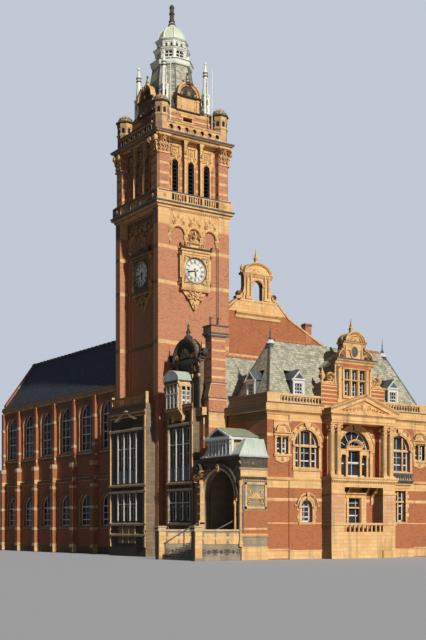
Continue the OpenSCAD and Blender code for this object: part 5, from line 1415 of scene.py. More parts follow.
def westGable():
    # Pilasters, panel, hood ribs and finials of the gable, dark with painted shade
    wall = wallPlace("left", middleX, 0)
    mid = 1.65
    for su in (-1, 1):
        for u in (0.5, 0.95):
            slab(shadedStoneBm, wall, sorted((mid + su * u, mid + su * (u + 0.1))), 0.05, (5.95, 7.85))
            carve(leaf, wall, mid + su * (u + 0.05), 7.6, 0.05, (0.16, 0.2, 0.22))
            carve(volute, wall, mid + su * (u + 0.05), 7.2, 0.04, (su * 0.14, 0.5, 0.16))
        stamp(shadedStoneBm, volute, at(wall, mid + su * 1.2, 7.95, -0.12) @ grow(-su * 0.34, 1.6, 0.42))
        stamp(shadedStoneBm, spike, at(wall, mid + su * 0.98, 8.0, -0.1) @ grow(0.8, 0.8, 1.0))
        carve(volute, wall, mid + su * 0.62, 8.02, 0.01, (su * 0.2, 0.6, 0.24))
        carve(flower, wall, mid + su * 0.72, 7.56, 0.02, (0.2, 0.3, 0.24))
        carve(leaf, wall, mid + su * 0.5, 8.0, 0.05, (0.14, 0.3, 0.2))
    moulding(shadedStoneBm, wall, around(mid, 1.12),
             [(0, 7.78), (0.06, 7.82), (0.12, 7.9), (0.12, 7.96), (0, 7.98)])
    moulding(shadedStoneBm, wall, around(mid, 1.05), [(0, 7.2), (0.05, 7.23), (0.06, 7.3), (0, 7.32)])
    foliage(shadedStoneBm, at(wall, mid, 7.52, 0.01), 0.9, 0.3, 0.03)
    head = at(wall, mid, 7.95)
    segment(shadedStoneBm, head, 0.74, 0.16, 0.1, (0, 180), 14)
    stamp(shadedStoneBm, shell, at(head, 0, 0.1, 0.02) @ grow(0.9, 0.6, 0.9))
    carve(flower, head, 0, 0.22, 0.05, (0.24, 0.3, 0.24))
    for k in range(7):
        a = math.radians(18 + 24 * k)
        ridge = [(0.9 * math.cos(a), 0.03, 0.9 * math.sin(a)), (0.9 * math.cos(a), 0.24, 0.9 * math.sin(a))]
        tube(shadedStoneBm, head, ridge, 0.03)
    stamp(shadedStoneBm, gableLantern, at(wall, mid, 8.82, -0.12))


def orielDressing():
    # Mint ribbed roof, white sash frames and brackets
    y0, y1 = oriel[0][1], oriel[1][1]
    mid = -(y0 + y1) / 2
    run = (-y1 - 0.02, -y0 + 0.02)
    face = wallPlace("left", -0.35, 0)
    reach = (y1 - y0) / 2 + 0.07
    curve = [(reach * math.cos(math.radians(a)), 7.1 + 0.4 * math.sin(math.radians(a)))
             for a in range(0, 181, 12)]
    shellEdge = [(mid + u, z) for u, z in curve]
    inner = [(mid + u * 0.9, 7.1 + (z - 7.1) * 0.86) for u, z in reversed(curve)]
    plate(leadBm, face, shellEdge + inner, (-0.66, 0.03))
    for u, z in curve[1:-1]:
        tube(leadBm, face, [(mid + u, -0.04, z), (mid + u, 0.66, z)], 0.014)
    plate(leadBm, face, [(mid + u * 0.92, 7.1 + (z - 7.1) * 0.9) for u, z in curve], (-0.05, 0.03))
    moulding(stoneBm, orielWall, run, [(0, 6.96), (0.05, 6.98), (0.07, 7.08), (0, 7.1)], (0, 0))
    for k in range(4):
        u = mid + 0.27 * (k - 1.5)
        slab(whiteBm, orielWall, around(u, 0.035), 0.02, (6.0, 6.93))
    slab(whiteBm, orielWall, (-y1, -y0), 0.025, (6.55, 6.6))
    moulding(stoneBm, orielWall, run, [(0, 5.9), (0.05, 5.93), (0.05, 6.0), (0, 6.02)], (0, 0))
    side = wallPlace("front", 0, y0)
    for x in (-0.06, 0.15):
        slab(whiteBm, side, around(x, 0.07), (-0.04, -0.02), (6.01, 6.71))
        for z in (6.2, 6.42, 6.6):
            slab(darkBm, side, around(x, 0.05), (-0.022, -0.015), around(z, 0.07))
    slab(paleBm, side, 0.3, 0.03, (6.86, 6.96))
    for x in (-0.2, 0.04, 0.26):
        slab(paleBm, side, around(x, 0.04), 0.02, (5.95, 6.86))
    for u in around(mid, 0.36):
        stamp(stoneBm, volute, at(westWall, u, 5.5) @ grow(0.3, 1.2, 0.42))


def porchSide():
    # The arch, its jambs, the frieze and the bold jamb pier beside the bay
    wall = westWall
    mid = porch["arch"]
    r = porch["radius"]
    spot = at(wall, mid, porch["spring"])
    segment(paleBm, spot, r, 0.09, 0.06, (0, 180), 20)
    segment(shadedStoneBm, spot, r + 0.12, 0.14, 0.1, (0, 180), 20)
    for k in range(-6, 7):
        stamp(shadedStoneBm, leaf, spot @ degY(13 * k) @ move(0, -0.06, r + 0.1) @ grow(0.13, 0.3, 0.17))
    for su in (-1, 1):
        jamb = at(wall, mid + su * (r + 0.1), 0)
        slab(stoneBm, jamb, 0.09, 0.09, (0.95, 1.15))
        slab(stoneBm, jamb, 0.09, 0.09, (2.2, 2.36))
        tube(stoneBm, jamb, [(0, -0.07, z) for z in (1.1, 1.6, 2.2)], 0.05, [1.2, 1.0, 0.9])
        carve(leaf, jamb, 0, 2.02, 0.1, (0.16, 0.3, 0.22))
        foliage(shadedStoneBm, at(wall, mid + su * 0.78, 3.5, 0.01), 0.5, 0.2, 0.03)
    carve(volute, wall, mid, 3.36, 0.04, (0.24, 0.8, 0.3))
    moulding(shadedStoneBm, wall, (3.31, 5.93),
             [(0, 3.72), (0.05, 3.75), (0.07, 3.82), (0.12, 3.86), (0.12, 3.9), (0, 3.92)])
    # The bold jamb pier beside the bay, whose sunny return is seen
    far = at(wall, 3.39, 0)
    for z, out, wide in (((0.95, 1.5), 0.26, 0.09), ((1.5, 2.9), 0.2, 0.075), ((2.9, 3.05), 0.24, 0.09)):
        slab(stoneBm, far, wide, out, z)
    for z in (1.35, 1.72, 2.1, 2.48, 2.76):
        slab(paleBm, far, 0.09, 0.225, (z, z + 0.07))
    stamp(carveBm, volute, at(far, 0, 3.05, 0.1) @ turnZ(1.57) @ grow(0.4, 1.2, 0.42))
    slab(stoneBm, at(wall, 3.0, 0), 0.05, 0.12, (0.95, 3.2))
    carve(volute, wall, 3.14, 2.95, 0.05, (-0.4, 1.5, 0.4))
    stamp(shadedStoneBm, volute, at(wall, 3.2, 3.3, 0.03) @ grow(0.4, 1.5, 0.45))


def porchFront():
    # The sunny side wall: entablature, carved panel and corner column
    wall = wallPlace("front", 0, porch["front"])
    back = 1.25
    run = (-0.06, back)
    # The dark frieze and mouldings are painted shade under the window box's eaves
    slab(shadedStoneBm, wall, (0, back), 0.03, (3.44, 3.86))
    foliage(carveBm, at(wall, 0.56, 3.63, 0.02), 0.72, 0.2, 0.03)
    moulding(shadedStoneBm, wall, run, [(0, 3.78), (0.05, 3.8), (0.08, 3.86), (0.12, 3.88), (0, 3.92)])
    moulding(paleBm, wall, run, [(0, 3.36), (0.05, 3.38), (0.08, 3.44), (0, 3.46)])
    slab(stoneBm, wall, (0, back), 0.025, (3.12, 3.36))
    moulding(shadedStoneBm, wall, run, [(0, 3.0), (0.05, 3.02), (0.08, 3.08), (0.08, 3.11), (0, 3.12)])
    for k in range(14):
        slab(paleBm, wall, (0.04 + 0.087 * k, 0.085 + 0.087 * k), 0.07, (2.96, 3.01))
    for z in ((1.92, 2.0), (2.82, 2.9)):
        slab(stoneBm, wall, (0.2, 1.2), 0.045, z)
    for u in ((0.2, 0.28), (1.12, 1.2)):
        slab(stoneBm, wall, u, 0.045, (1.92, 2.9))
    carve(shell, wall, 0.7, 2.3, 0.01, (0.5, 0.3, 0.5))
    for su in (-1, 1):
        carve(volute, wall, 0.7 + su * 0.28, 2.08, 0.01, (su * 0.26, 0.5, 0.3))
        carve(leaf, wall, 0.7 + su * 0.22, 2.5, 0.01, (0.16, 0.3, 0.26), su * 0.8)
    slab(brickBm, wall, (0.14, back), 0.02, (0.95, 1.86))
    slab(stoneBm, wall, (0.02, back), 0.06, 0.5)
    moulding(stoneBm, wall, (0.02, back), [(0, 0.86), (0.06, 0.88), (0.08, 0.94), (0, 1.0)])
    stamp(stoneBm, porchColumn, move(0, porch["front"], 0))
    slab(darkBm, wall, (0.08, 0.13), 0.012, (0.95, 2.94))


def porchTop():
    # Ribs and rolls of the two lead caps, and the window box between them
    eave, ridge = porch["top"] + 0.1, 4.56
    for y in ((-5.94, -5.24), (-3.71, -3.31)):
        mid = sum(y) / 2
        if y[0] < -5:
            for side in (y[0] + 0.06, y[1] - 0.06):
                tube(leadBm, Matrix(),
                     [(-0.03, side, eave), (0.41, mid + (side > mid) * 0.12 - 0.06, ridge)], 0.02)
            for k in range(6):
                x = 0.41 + 0.155 * k
                tube(leadBm, Matrix(), [(x, y[0] + 0.06, eave), (x, mid - 0.06, ridge)], 0.013)
            for k in range(1, 3):
                x = -0.03 + 0.147 * k
                part = (x + 0.03) / 0.44
                high = (x, y[0] + 0.06 + 0.29 * part * 0.97, eave + 0.46 * part)
                tube(leadBm, Matrix(), [(x, y[0] + 0.06, eave), high], 0.011)
        belt(leadBm, (-0.09, 1.25), y, (porch["top"] - 0.01, porch["top"] + 0.04), 0.02)
    wall = westWall
    y0, y1 = box[0][1], box[1][1]
    mid = -(y0 + y1) / 2
    for k in range(7):
        u = 5.23 - 0.07 + 0.02 - 0.235 * k
        slab(whiteBm, wall, around(u, 0.025), 0.03, (3.92, 4.55))
    slab(whiteBm, wall, (-y1, -y0), 0.06, (3.88, 3.97))
    slab(whiteBm, wall, (-y1 - 0.03, -y0 + 0.03), 0.12, (4.55, 4.63))
    slab(whiteBm, wall, (-y1, -y0), 0.02, (4.4, 4.43))
    slab(darkBm, wall, (0.12 - y1, -y0 - 0.12), (-0.14, -0.12), (3.93, 4.58))
    ribbon(sageBm, wall, [(mid - 0.84, 4.65), (mid, 5.005), (mid + 0.84, 4.65)], 0.035, (-1.24, 0.05))
    hood = -box[0][0]
    plate(shadedStoneBm, wall, [(mid - 0.58, 4.68), (mid + 0.58, 4.68), (mid, 4.93)], (hood - 0.02, hood + 0.01))
    for su in (-1, 1):
        rake = [(mid + su * 0.84, 4.63), (mid, 5.03), (mid, 4.95), (mid + su * 0.68, 4.63)]
        plate(whiteBm, wall, rake, hood + 0.05)
    side = wallPlace("front", 0, y0 + 0.06)
    for x in (0.06, 0.58, 1.1):
        slab(whiteBm, side, around(x, 0.05), 0.05, (3.9, 4.6))
    slab(paleBm, side, (0.1, 1.1), (-0.16, -0.14), (3.95, 4.56))
    slab(whiteBm, side, (0, 1.25), 0.07, (4.54, 4.62))
    slab(whiteBm, side, (0, 1.25), 0.06, (3.88, 3.96))


def stepsAndWalls():
    # Worn nosings, copings and carved panels of the dwarf walls
    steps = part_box("steps")
    outer, inner = -2.005, -1.72
    rise, tread = porch["floor"] / 12, -steps[0][0] / 12
    for k in range(11):
        x = steps[0][0] + tread * k
        slab(stepBm, wallPlace("left", x, 0), (3.36, 5.58), 0.015, (rise * (k + 1) - 0.03, rise * (k + 1)))
    for y in ((-5.84, -5.6), (-3.34, -3.1)):
        belt(paleBm, (outer, 0), y, (1.08, 1.15), 0.04)
        belt(stoneBm, (outer, inner), y, (1.1, 1.22), 0.02)
        belt(paleBm, (outer, inner), y, (1.22, 1.28), 0.05)
        wall = wallPlace("front", 0, y[0])
        for k in range(3):
            u = -1.62 + 0.54 * k
            slab(stoneBm, wall, (u, u + 0.46), 0.02, (0.6, 1.0))
            foliage(carveBm, at(wall, u + 0.23, 0.8, 0.015), 0.3, 0.26, 0.03)
            foliage(shadedStoneBm, at(wall, u + 0.23, 0.32), 0.36, 0.3, 0.03)
        slab(stoneBm, wall, (-2.0, -1.7), 0.02, (0.1, 1.1))
    for y in (-3.42, -5.5):
        tube(darkBm, Matrix(), [(-1.8, y, 0.62), (-0.9, y, 1.1), (0.0, y, 1.5)], 0.022)
        for x, z in ((-1.75, 0.1), (-0.9, 0.5), (-0.05, 0.95)):
            tube(darkBm, Matrix(), [(x, y, z), (x, y, z + 0.54)], 0.014)


def sideWing():
    # Buttresses, archivolts, strings and the dark ridge
    run = (-16.2, -3.6)
    for k in range(7):
        u = -(3.6 + 2.1 * k) - (0.12 if k == 0 else -0.12 if k == 6 else 0)
        slab(brickBm, leftWall, around(u, 0.14), 0.24, 4.1)
        slab(brickBm, leftWall, around(u, 0.12), 0.14, (4.1, 7.3))
        for z in (0.3, 1.1, 2.1, 3.1):
            slab(paleBm, leftWall, around(u, 0.15), 0.255, (z, z + 0.14))
        plate(paleBm, leftWall @ move(u, 0, 0), [(-0.16, 4.1), (0.16, 4.1), (0.14, 4.3), (-0.14, 4.3)],
              0.26)
        for z in (5.0, 6.3):
            slab(paleBm, leftWall, around(u, 0.13), 0.15, (z, z + 0.14))
    for u in leftLights:
        for z, rise in ((1.3, 0.9), (4.8, 1.6)):
            segment(stoneBm, at(leftWall, u, z + rise), 0.6, 0.14, 0.06)
            moulding(stoneBm, at(leftWall, u, z), 0.7, [(0, -0.12), (0.06, -0.09), (0.09, -0.02), (0, 0)])
            for su in (-1, 1):
                slab(stoneBm, at(leftWall, u, z), span(su, 0.6, 0.7), 0.03, rise)
    moulding(stoneBm, leftWall, run, [(0, 3.4), (0.05, 3.42), (0.08, 3.5), (0.08, 3.55), (0, 3.6)])
    moulding(stoneBm, leftWall, run, [(0, 7.3), (0.06, 7.34), (0.14, 7.44), (0.14, 7.5), (0, 7.55)])
    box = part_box("left_roof")
    ridge = ((box[0][0] + box[1][0]) / 2, box[1][2])
    for k in range(30):
        y = 3.75 + 0.42 * k
        tube(darkBm, move(ridge[0], y, ridge[1]), [(0, 0, 0), (0, 0.3, 0)], 0.06, [1.3, 1.0])


def doorLeaf(node):
    # Raised panels, rails and a brass pull on both faces of a leaf
    bm = bmesh.new()
    low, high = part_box(node)
    mid, half = (low[1] + high[1]) / 2, (high[1] - low[1]) / 2
    for side, x in (("left", low[0]), ("right", high[0])):
        place = wallPlace(side, x, mid)
        for z0, z1 in ((0.12, 0.42), (0.52, 0.86), (0.94, 1.24)):
            slab(bm, place, (-half + 0.09, half - 0.09), 0.006, (low[2] + z0, low[2] + z1))
            slab(bm, place, (-half + 0.13, half - 0.13), 0.012, (low[2] + z0 + 0.04, low[2] + z1 - 0.04))
    piece(node + "_panels", bm, doorPaint, "door_green", body=node)
    bm = bmesh.new()
    pull = half - 0.06 if node == "right_door" else 0.06 - half
    for side, x, out in (("left", low[0], -1), ("right", high[0], 1)):
        foot = move(x, mid + pull, low[2] + 0.7)
        tube(bm, foot, [(0, 0, -0.09), (out * 0.03, 0, -0.09), (out * 0.03, 0, 0.09), (0, 0, 0.09)], 0.008)
    piece(node + "_pull", bm, brass, "door_green", body=node)


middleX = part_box("west_gable")[0][0]
gableLantern = turned("gable_lantern", [(0, 0), (0.15, 0.02), (0.17, 0.1), (0.1, 0.17), (0.06, 0.2),
                                        (0.1, 0.3), (0.06, 0.38), (0.035, 0.5), (0.05, 0.56), (0.0, 0.66)],
                      10)
porchColumn = turned("porch_column", [(0, 0.5), (0.1, 0.5), (0.1, 0.62), (0.075, 0.7), (0.065, 1.1),
                                      (0.085, 1.14), (0.065, 1.2), (0.065, 1.75), (0.085, 1.8),
                                      (0.065, 1.86), (0.062, 2.4), (0.08, 2.44), (0.062, 2.5), (0.06, 2.75),
                                      (0.1, 2.86), (0.11, 2.96), (0, 2.96)], 12)
bayDressing(westWall, (0.7, 2.65))
bayDressing(towerBay, (-3.35, -0.25))
for su in (-1, 1):
    rake = [(-1.8 + su * 0.95, 5.78), (-1.8, 6.2), (-1.8, 6.1), (-1.8 + su * 0.72, 5.78)]
    plate(paleBm, towerBay, rake, 0.12)
westGable()
orielDressing()
porchSide()
porchFront()
porchTop()
stepsAndWalls()
sideWing()
doorLeaf("left_door")
doorLeaf("right_door")
piece("west_dressings", stoneBm, stone, "stone")
piece("west_carving", carveBm, carved, "stone")
piece("west_shaded_stone", shadedStoneBm, sootAndShadeStone, "stone")
piece("west_joinery", whiteBm, white, "timber")
piece("west_leads", leadBm, lead, "copper")
piece("buttresses", brickBm, brick["left"], "brick")
piece("west_strings", paleBm, paleStone, "stone")
piece("step_nosings", stepBm, stepFinish, "step")
piece("west_ironwork", darkBm, darkLead, "dark_iron")
piece("box_roof_leads", sageBm, sage, "copper")
print("west side made")


# Tower top: parapet, turrets, attic gables, pinnacles, spire, lantern and dome
stoneBm, carveBm, darkBm, mossBm, whiteBm, leadBm, shaftBm, nicheShadeBm = (bmesh.new() for k in range(8))
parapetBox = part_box("tower_parapet")
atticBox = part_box("tower_attic")
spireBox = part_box("tower_roof")
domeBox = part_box("tower_dome")
parapetLow = parapetBox[0][2]
attic = {"z": atticBox[1][2], "half": (atticBox[1][0] - atticBox[0][0]) / 2}
spireTop = spireBox[1][2]
domeLow = domeBox[0][2]
flatPart = math.cos(math.radians(22.5))  # the middle of an octagon's side against its corner


def turretFacet(place):
    # Paired niches over a moulding, on one flat side of a turret's drum
    niche = at(place, 0, parapetLow + 0.75)
    # A flat dark plate: painted shade for the niche's hollow
    plate(nicheShadeBm, niche, outline(0.13, 0.17, True, 8), 0.004)
    arch(stoneBm, at(niche, 0, 0.17), [(0.065, 0), (0.065, 0.018), (0.09, 0.018), (0.09, 0)], steps=8)


def turret(place):
    ring = place @ move(0, 0, parapetLow)
    for mesh in turretRings:
        stamp(stoneBm, mesh, ring)
    stamp(darkBm, turretEave, ring)
    for k in range(8):
        turn = ring @ degZ(45 * k)
        turretFacet(place @ degZ(45 * k) @ move(0, -0.32, 0))
        for row, (r, z, lean, size) in enumerate(((0.33, 1.28, 0.2, 0.2), (0.29, 1.38, 0.5, 0.2),
                                                  (0.2, 1.47, 0.9, 0.17))):
            leafAt = turn @ degZ(22.5 * (row % 2)) @ move(0, -r, z) @ Matrix.Rotation(-lean, 4, "X")
            stamp(mossBm, leaf, leafAt @ grow(size * 0.9, size * 0.5, size))


def parapetFace(place):
    face = at(place, 0, parapetLow, panelIn)
    pitch, mid = 0.39, 0.225
    for k in range(7):
        spot = at(face, pitch * (k - 3), mid)
        hoop(stoneBm, spot, [(0.098, 0), (0.098, 0.018), (0.118, 0.03), (0.138, 0.018), (0.138, 0)], 8)
        # A dark lining inside each ring: painted shade in its hole
        hoop(darkBm, spot, [(0.085, -0.14), (0.1, -0.14), (0.1, 0.012), (0.085, 0.012)], 8)
        if k < 6:
            link = at(face, pitch * (k - 2.5), mid)
            hoop(stoneBm, link, [(0.03, 0), (0.03, 0.016), (0.055, 0.022), (0.055, 0)], 6)
    moulding(stoneBm, face, 1.36, [(0, 0.39), (0.035, 0.4), (0.05, 0.43), (0.05, 0.465), (0, 0.47)])
    moulding(stoneBm, face, 1.36, [(0, 0), (0.05, 0.0), (0.04, 0.05), (0, 0.07)])
    slab(darkBm, face, 1.36, (-0.16, 0.055), (0.47, 0.485))


def atticFace(place):
    # The brick stage behind the parapet, with its gable and its pinnacles' steps
    wall = at(place, 0, 0, attic["half"] - (towerMid - panelIn))
    low = parapetLow + 0.8
    for su in (-1, 1):
        slab(stoneBm, wall, span(su, 0.23, 0.3), 0.03, (low - 0.05, low + 0.24))
        slab(stoneBm, wall, span(su, 0, 0.36), 0.045, (low + 0.18, low + 0.25))
        slab(stoneBm, wall, span(su, 0, 0.36), 0.045, (low - 0.08, low))
        slab(stoneBm, wall, span(su, 0.3, 1.24), 0.02, (low + 0.06, low + 0.13))
    moulding(stoneBm, wall, 1.24, [(0, attic["z"] - 0.16), (0.03, attic["z"] - 0.14),
                                   (0.06, attic["z"] - 0.06), (0.06, attic["z"]), (0, attic["z"])], (1, 1))
    gable = at(wall, 0, attic["z"], 0.06)
    for su in (-1, 1):
        slab(stoneBm, gable, span(su, 0.56, 0.42), 0.035, 0.59)
        slab(stoneBm, gable, span(su, 0.58, 0.4), 0.05, (0.5, 0.545))
        slab(stoneBm, gable, span(su, 0.58, 0.4), 0.05, 0.06)
        stamp(darkBm, bulb, at(gable, su * 0.72, 0.02, -0.1))
        slab(darkBm, gable, span(su, 0.36, 0.33), 0.004, (0.08, 0.5))
    foliage(carveBm, at(gable, 0, 0.3), 0.5, 0.34, 0.04)
    moulding(darkBm, gable, 0.64, [(0.03, 0.585), (0.06, 0.6), (0.11, 0.64), (0.12, 0.675), (0, 0.69)])
    moulding(darkBm, gable, 0.62, [(0, -0.02), (0.05, -0.01), (0.08, 0.03), (0, 0.05)])
    head = at(gable, 0, 0.67)
    hood = [(0.44, 0), (0.44, 0.05), (0.5, 0.08), (0.53, 0.13), (0.6, 0.13), (0.6, -0.12), (0.575, -0.12),
            (0.575, 0)]
    arch(stoneBm, head, hood, (0, 68), 8)
    arch(stoneBm, head, hood, (112, 180), 8)
    # The dark tympanum and shell are painted shade under the hood
    plate(darkBm, head, [(-0.45, 0.0)] + archHead(0.45, 0, 14) + [(0.45, 0.0)], 0.015)
    stamp(darkBm, shell, at(head, 0, 0.06, 0.02) @ grow(0.56, 0.4, 0.52))
    carve(flower, head, 0, 0.1, 0.06, (0.2, 0.3, 0.2))
    for su in (-1, 1):
        carve(volute, head, su * 0.16, 0.4, 0.02, (-su * 0.22, 0.8, 0.24))
        carve(leaf, head, su * 0.3, 0.03, 0.02, (0.16, 0.3, 0.2), su * 0.7)
    stamp(darkBm, gableFinial, at(head, 0, 0.5, -0.06))


def pinnacle(place, dark):
    spot = place @ move(0, 0, attic["z"])
    stamp(mossBm, pinnacleBase, spot)
    for mesh in pinnacleRings:
        stamp(whiteBm, mesh, spot)
    stamp(dark, pinnacleBand, spot @ move(0, 0, 0.34), spot @ move(0, 0, 0.47))
    for k in range(4):
        side = spot @ degZ(90 * k) @ move(0, -0.13, 0)
        # A flat dark plate: painted shade for the hollow of the little arched opening
        plate(nicheShadeBm, at(side, 0, 0.58), outline(0.07, 0.2, True, 6), 0.004)
        arch(whiteBm, at(side, 0, 0.78), [(0.03, 0), (0.03, 0.018), (0.05, 0.018), (0.05, 0)], steps=6)
        hoop(whiteBm, at(side, 0, 0.36), [(0.028, 0), (0.028, 0.03), (0.06, 0.03), (0.06, 0)], 6)
        for su in (-1, 1):
            slab(whiteBm, side, span(su, 0.13, 0.1), 0.012, (0.2, 0.94))


def octagon(k, r, z):
    # A corner or a flat side's middle of an eight-sided shape, turned to face out
    return middle @ degZ(k) @ move(0, -r, z)


turretRings = [
    turned("turret_foot", [(0.3, 0), (0.35, 0), (0.35, 0.07), (0.33, 0.1), (0.3, 0.1)], 8),
    turned("turret_ring",
           [(0.3, 0.62), (0.335, 0.62), (0.36, 0.65), (0.36, 0.69), (0.33, 0.73), (0.3, 0.73)], 8),
    turned("turret_head", [(0.3, 1.0), (0.33, 1.02), (0.345, 1.08), (0.34, 1.12), (0.33, 1.2), (0.3, 1.2)],
           8),
]
turretEave = turned("turret_eave", [(0.33, 1.2), (0.38, 1.2), (0.405, 1.23), (0.38, 1.275), (0.33, 1.28)],
                    8)
bulb = turned("gable_bulb", [(0.03, 0), (0.07, 0.02), (0.11, 0.1), (0.1, 0.18), (0.05, 0.26), (0.04, 0.32),
                             (0.06, 0.36), (0.03, 0.42), (0, 0.5)], 10)
gableFinial = turned("gable_finial", [(0, 0), (0.13, 0.02), (0.15, 0.08), (0.1, 0.15), (0.05, 0.18),
                                      (0.08, 0.24), (0.05, 0.3), (0.03, 0.45), (0.05, 0.5), (0.0, 0.56)],
                     10)
pinnacleBase = turned("pinnacle_base", [(0.1, 0), (0.185, 0), (0.185, 0.1), (0.16, 0.19), (0.13, 0.2)], 4)
pinnacleRings = [
    turned("pinnacle_neck",
           [(0.1, 0.93), (0.14, 0.94), (0.165, 0.99), (0.165, 1.03), (0.13, 1.06), (0.1, 1.08)], 4),
    turned("pinnacle_spire", [(0.06, 1.04), (0.13, 1.05), (0.07, 1.84), (0.05, 1.84)], 8),
    turned("pinnacle_cup",
           [(0.05, 1.88), (0.07, 1.9), (0.08, 1.95), (0.075, 2.04), (0.05, 2.1), (0.035, 2.3)], 10),
    turned("pinnacle_ball", [(0, 2.34), (0.05, 2.36), (0.065, 2.41), (0.05, 2.46), (0, 2.48)], 10),
]
pinnacleBand = turned("pinnacle_band",
                      [(0.05, 1.5), (0.112, 1.5), (0.118, 1.52), (0.11, 1.545), (0.05, 1.545)], 12)
for k in range(4):
    quarter = middle @ degZ(90 * k)
    turret(quarter @ move(0.31 - towerMid, 0.31 - towerMid, 0))
    inset = attic["half"] - 0.185
    pinnacle(quarter @ move(-inset, -inset, 0), darkBm)
    atticFace(faces[k])
    parapetFace(faces[k])
# The two slim white rods on the street front's parapet
for x in (0.7, 2.8):
    tube(whiteBm, move(x, panelIn + 0.06, parapetLow), [(0, 0, 0.44), (0, 0, 3.2)], 0.02)

# Spire: lead hips, rolls and ridge, then the ring cornice
foot = (spireBox[1][0] - towerMid) / flatPart
top = 0.812
for k in range(8):
    a = math.radians(22.5 + 45 * k)
    hip = [(r * math.cos(a), r * math.sin(a), z)
           for r, z in ((foot + 0.01, attic["z"] + 0.01), (top + 0.01, spireTop))]
    tube(leadBm, middle, hip, 0.02)
spireFoot = (foot + 0.02) * flatPart
stamp(leadBm, turned("spire_foot", [(spireFoot - 0.08, attic["z"] + 0.09), (spireFoot, attic["z"]),
                                    (spireFoot + 0.04, attic["z"] + 0.03), (spireFoot, attic["z"] + 0.09)],
                     8), middle)
stamp(whiteBm, turned("ring_cornice", [(0.72, spireTop - 0.1), (0.84, spireTop - 0.08),
                                       (0.87, spireTop - 0.02), (0.87, spireTop + 0.1),
                                       (0.89, spireTop + 0.12), (0.74, spireTop + 0.21),
                                       (0.7, spireTop + 0.21)], 8), middle)
stamp(darkBm, turned("ring_lip", [(0.7, spireTop + 0.12), (0.905, spireTop + 0.12),
                                  (0.905, spireTop + 0.135), (0.7, spireTop + 0.16)], 8), middle)

# Lantern: corner posts, window frames, rails and the two cornices
lowStage = spireTop + 0.22
flat = 0.715 * flatPart
upper = 0.64 * flatPart
for k in range(8):
    corner = octagon(45 * k + 22.5, 0.705, lowStage)
    slab(whiteBm, corner, 0.045, (-0.02, 0.04), 0.4)
    slab(whiteBm, corner, 0.06, (-0.02, 0.055), 0.06)
    slab(whiteBm, corner, 0.06, (-0.02, 0.055), (0.33, 0.38))
    slab(whiteBm, octagon(45 * k + 22.5, 0.63, lowStage + 0.47), 0.035, (-0.02, 0.03), 0.4)
    side = octagon(45 * k, flat, lowStage)
    slab(whiteBm, side, 0.012, (-0.07, -0.03), (0.06, 0.36))
    slab(whiteBm, side, 0.19, (-0.07, -0.03), (0.2, 0.222))
    slab(whiteBm, side, 0.22, 0.03, (0.03, 0.06))
    slab(darkBm, side, 0.2, (-0.1, -0.09), (0.05, 0.37))
    high = octagon(45 * k, upper, lowStage + 0.47)
    for u in (-0.115, 0.115):
        for near, far in ((u - 0.08, u - 0.06), (u + 0.06, u + 0.08)):
            slab(whiteBm, high, (near, far), 0.02, (0.04, 0.28))
        slab(darkBm, high, around(u, 0.06), (-0.1, -0.09), (0.05, 0.27))
    slab(whiteBm, high, 0.2, 0.025, (0.28, 0.31))
for name, r, z in (("lantern_cap", flat, lowStage + 0.38), ("dome_cornice", upper, lowStage + 0.82)):
    ring = [(r - 0.06, z - 0.03), (r + 0.03, z - 0.02), (r + 0.07, z + 0.02), (r + 0.1, z + 0.06),
            (r + 0.1, z + 0.085), (r - 0.06, z + 0.1)]
    stamp(whiteBm, turned(name, ring, 8), middle)
stamp(darkBm, turned("lantern_lip", [(flat, lowStage + 0.47), (flat + 0.11, lowStage + 0.465),
                                     (flat + 0.11, lowStage + 0.48), (flat, lowStage + 0.49)], 8), middle)

# Dome: ribs down its corners, collars and the dark finial
for k in range(8):
    rib = []
    for step in range(10):
        a = math.radians(9 * step)
        r = 0.615 * math.cos(a) ** 0.8
        turn = math.radians(22.5 + 45 * k)
        rib.append((r * math.cos(turn), r * math.sin(turn), domeLow + 0.06 + 0.59 * math.sin(a) ** 1.15))
    tube(shaftBm, middle, rib, 0.022)
stamp(shaftBm, turned("dome_collar", [(0.12, 0.6), (0.2, 0.62), (0.22, 0.67), (0.17, 0.71), (0.14, 0.8),
                                      (0.1, 0.8)], 12), middle @ move(0, 0, domeLow))
post = turned("dome_finial", [(0.09, 0.74), (0.17, 0.76), (0.15, 0.82), (0.09, 0.9), (0.13, 0.92),
                              (0.14, 0.97), (0.1, 1.0), (0.092, 1.1), (0.092, 1.25), (0.12, 1.28),
                              (0.12, 1.32), (0.09, 1.35), (0.09, 1.52), (0.11, 1.55), (0.1, 1.6),
                              (0.06, 1.68), (0, 1.7)], 12)
stamp(darkBm, post, middle @ move(0, 0, domeLow))
piece("parapet_dressings", stoneBm, stone, "stone")
piece("gable_carving", carveBm, carved, "stone")
piece("tower_top_shades", darkBm, sootAndShadeStone, "stone")
piece("turret_caps", mossBm, mossStone, "stone")
piece("lantern_joinery", whiteBm, cream, "timber")
piece("tower_top_niche_shade", nicheShadeBm, iron, "stone")
piece("spire_hips", leadBm, darkLead, "copper")
piece("dome_ribs", shaftBm, dome, "copper")
print("tower top made")


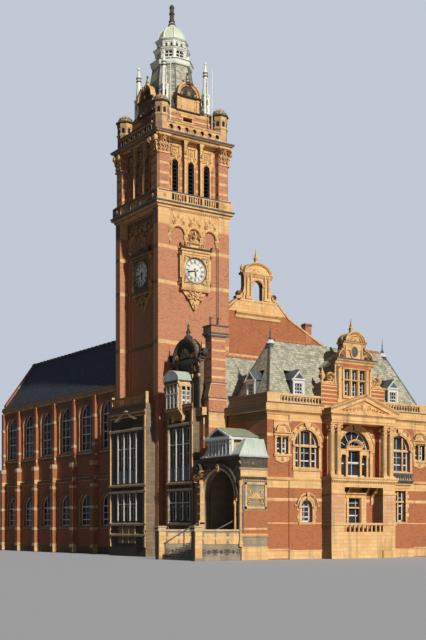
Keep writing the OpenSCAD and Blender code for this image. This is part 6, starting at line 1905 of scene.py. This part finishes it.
# Floor, light and camera
def stageFloor():
    bpy.ops.mesh.primitive_plane_add(size=600, location=(0, 0, -0.002))
    floor = bpy.context.object
    floor.name = "floor"
    f = Finish("pale floor")
    camera = f.node("ShaderNodeLightPath", out="Is Camera Ray")
    pale = f.node("ShaderNodeEmission", None, {0: (0.66, 0.67, 0.68, 1), 1: 1.0})
    ground = f.node("ShaderNodeBsdfPrincipled", None,
                    {"Base Color": (0.30, 0.29, 0.28, 1), "Roughness": 0.9})
    blend = f.node("ShaderNodeMixShader", None, {0: camera * 0.35, 1: ground, 2: pale})
    f.node("ShaderNodeOutputMaterial", None, {0: blend})
    floor.data.materials.append(f.material)


light = {"sunTurn": -5, "sunHeight": 26, "sun": 3.1, "sunSize": 2, "sky": 0.12}


def lampsAndSky():
    lamp = bpy.data.lights.new("key", "SUN")
    lamp.energy = light["sun"]
    lamp.angle = math.radians(light["sunSize"])
    lamp.color = (1.0, 0.97, 0.92)
    key = bpy.data.objects.new("key", lamp)
    key.rotation_euler = (math.radians(90 - light["sunHeight"]), 0, math.radians(light["sunTurn"]))
    bpy.context.collection.objects.link(key)
    world = bpy.data.worlds.new("sky")
    bpy.context.scene.world = world
    world.use_nodes = True
    tree = world.node_tree
    tree.nodes.clear()
    kinds = ("OutputWorld", "LightPath", "MixShader", "Background", "Background")
    out, path, mix, soft, seen = (tree.nodes.new("ShaderNode" + kind) for kind in kinds)
    for sky, colour, strength in ((soft, (0.52, 0.66, 0.95, 1), light["sky"]),
                                  (seen, (0.53, 0.58, 0.67, 1), 1.0)):
        sky.inputs[0].default_value = colour
        sky.inputs[1].default_value = strength
    for source, target in ((path.outputs["Is Camera Ray"], mix.inputs[0]), (soft.outputs[0], mix.inputs[1]),
                           (seen.outputs[0], mix.inputs[2]), (mix.outputs[0], out.inputs[0])):
        tree.links.new(source, target)


view = {"place": (-23.463, -38.584, 1.2), "heading": (0.562, 0.827), "lens": 61.1, "shift": 0.325}


def photoCamera():
    data = bpy.data.cameras.new("camera")
    data.lens = view["lens"]
    data.sensor_width = 36
    data.shift_y = view["shift"]
    data.clip_end = 2000
    camera = bpy.data.objects.new("camera", data)
    camera.location = view["place"]
    turn = math.atan2(view["heading"][0], view["heading"][1])
    camera.rotation_euler = (math.radians(90), 0, -turn)
    bpy.context.collection.objects.link(camera)
    bpy.context.scene.camera = camera


stageFloor()
lampsAndSky()
photoCamera()
bpy.context.scene.view_settings.view_transform = "Standard"
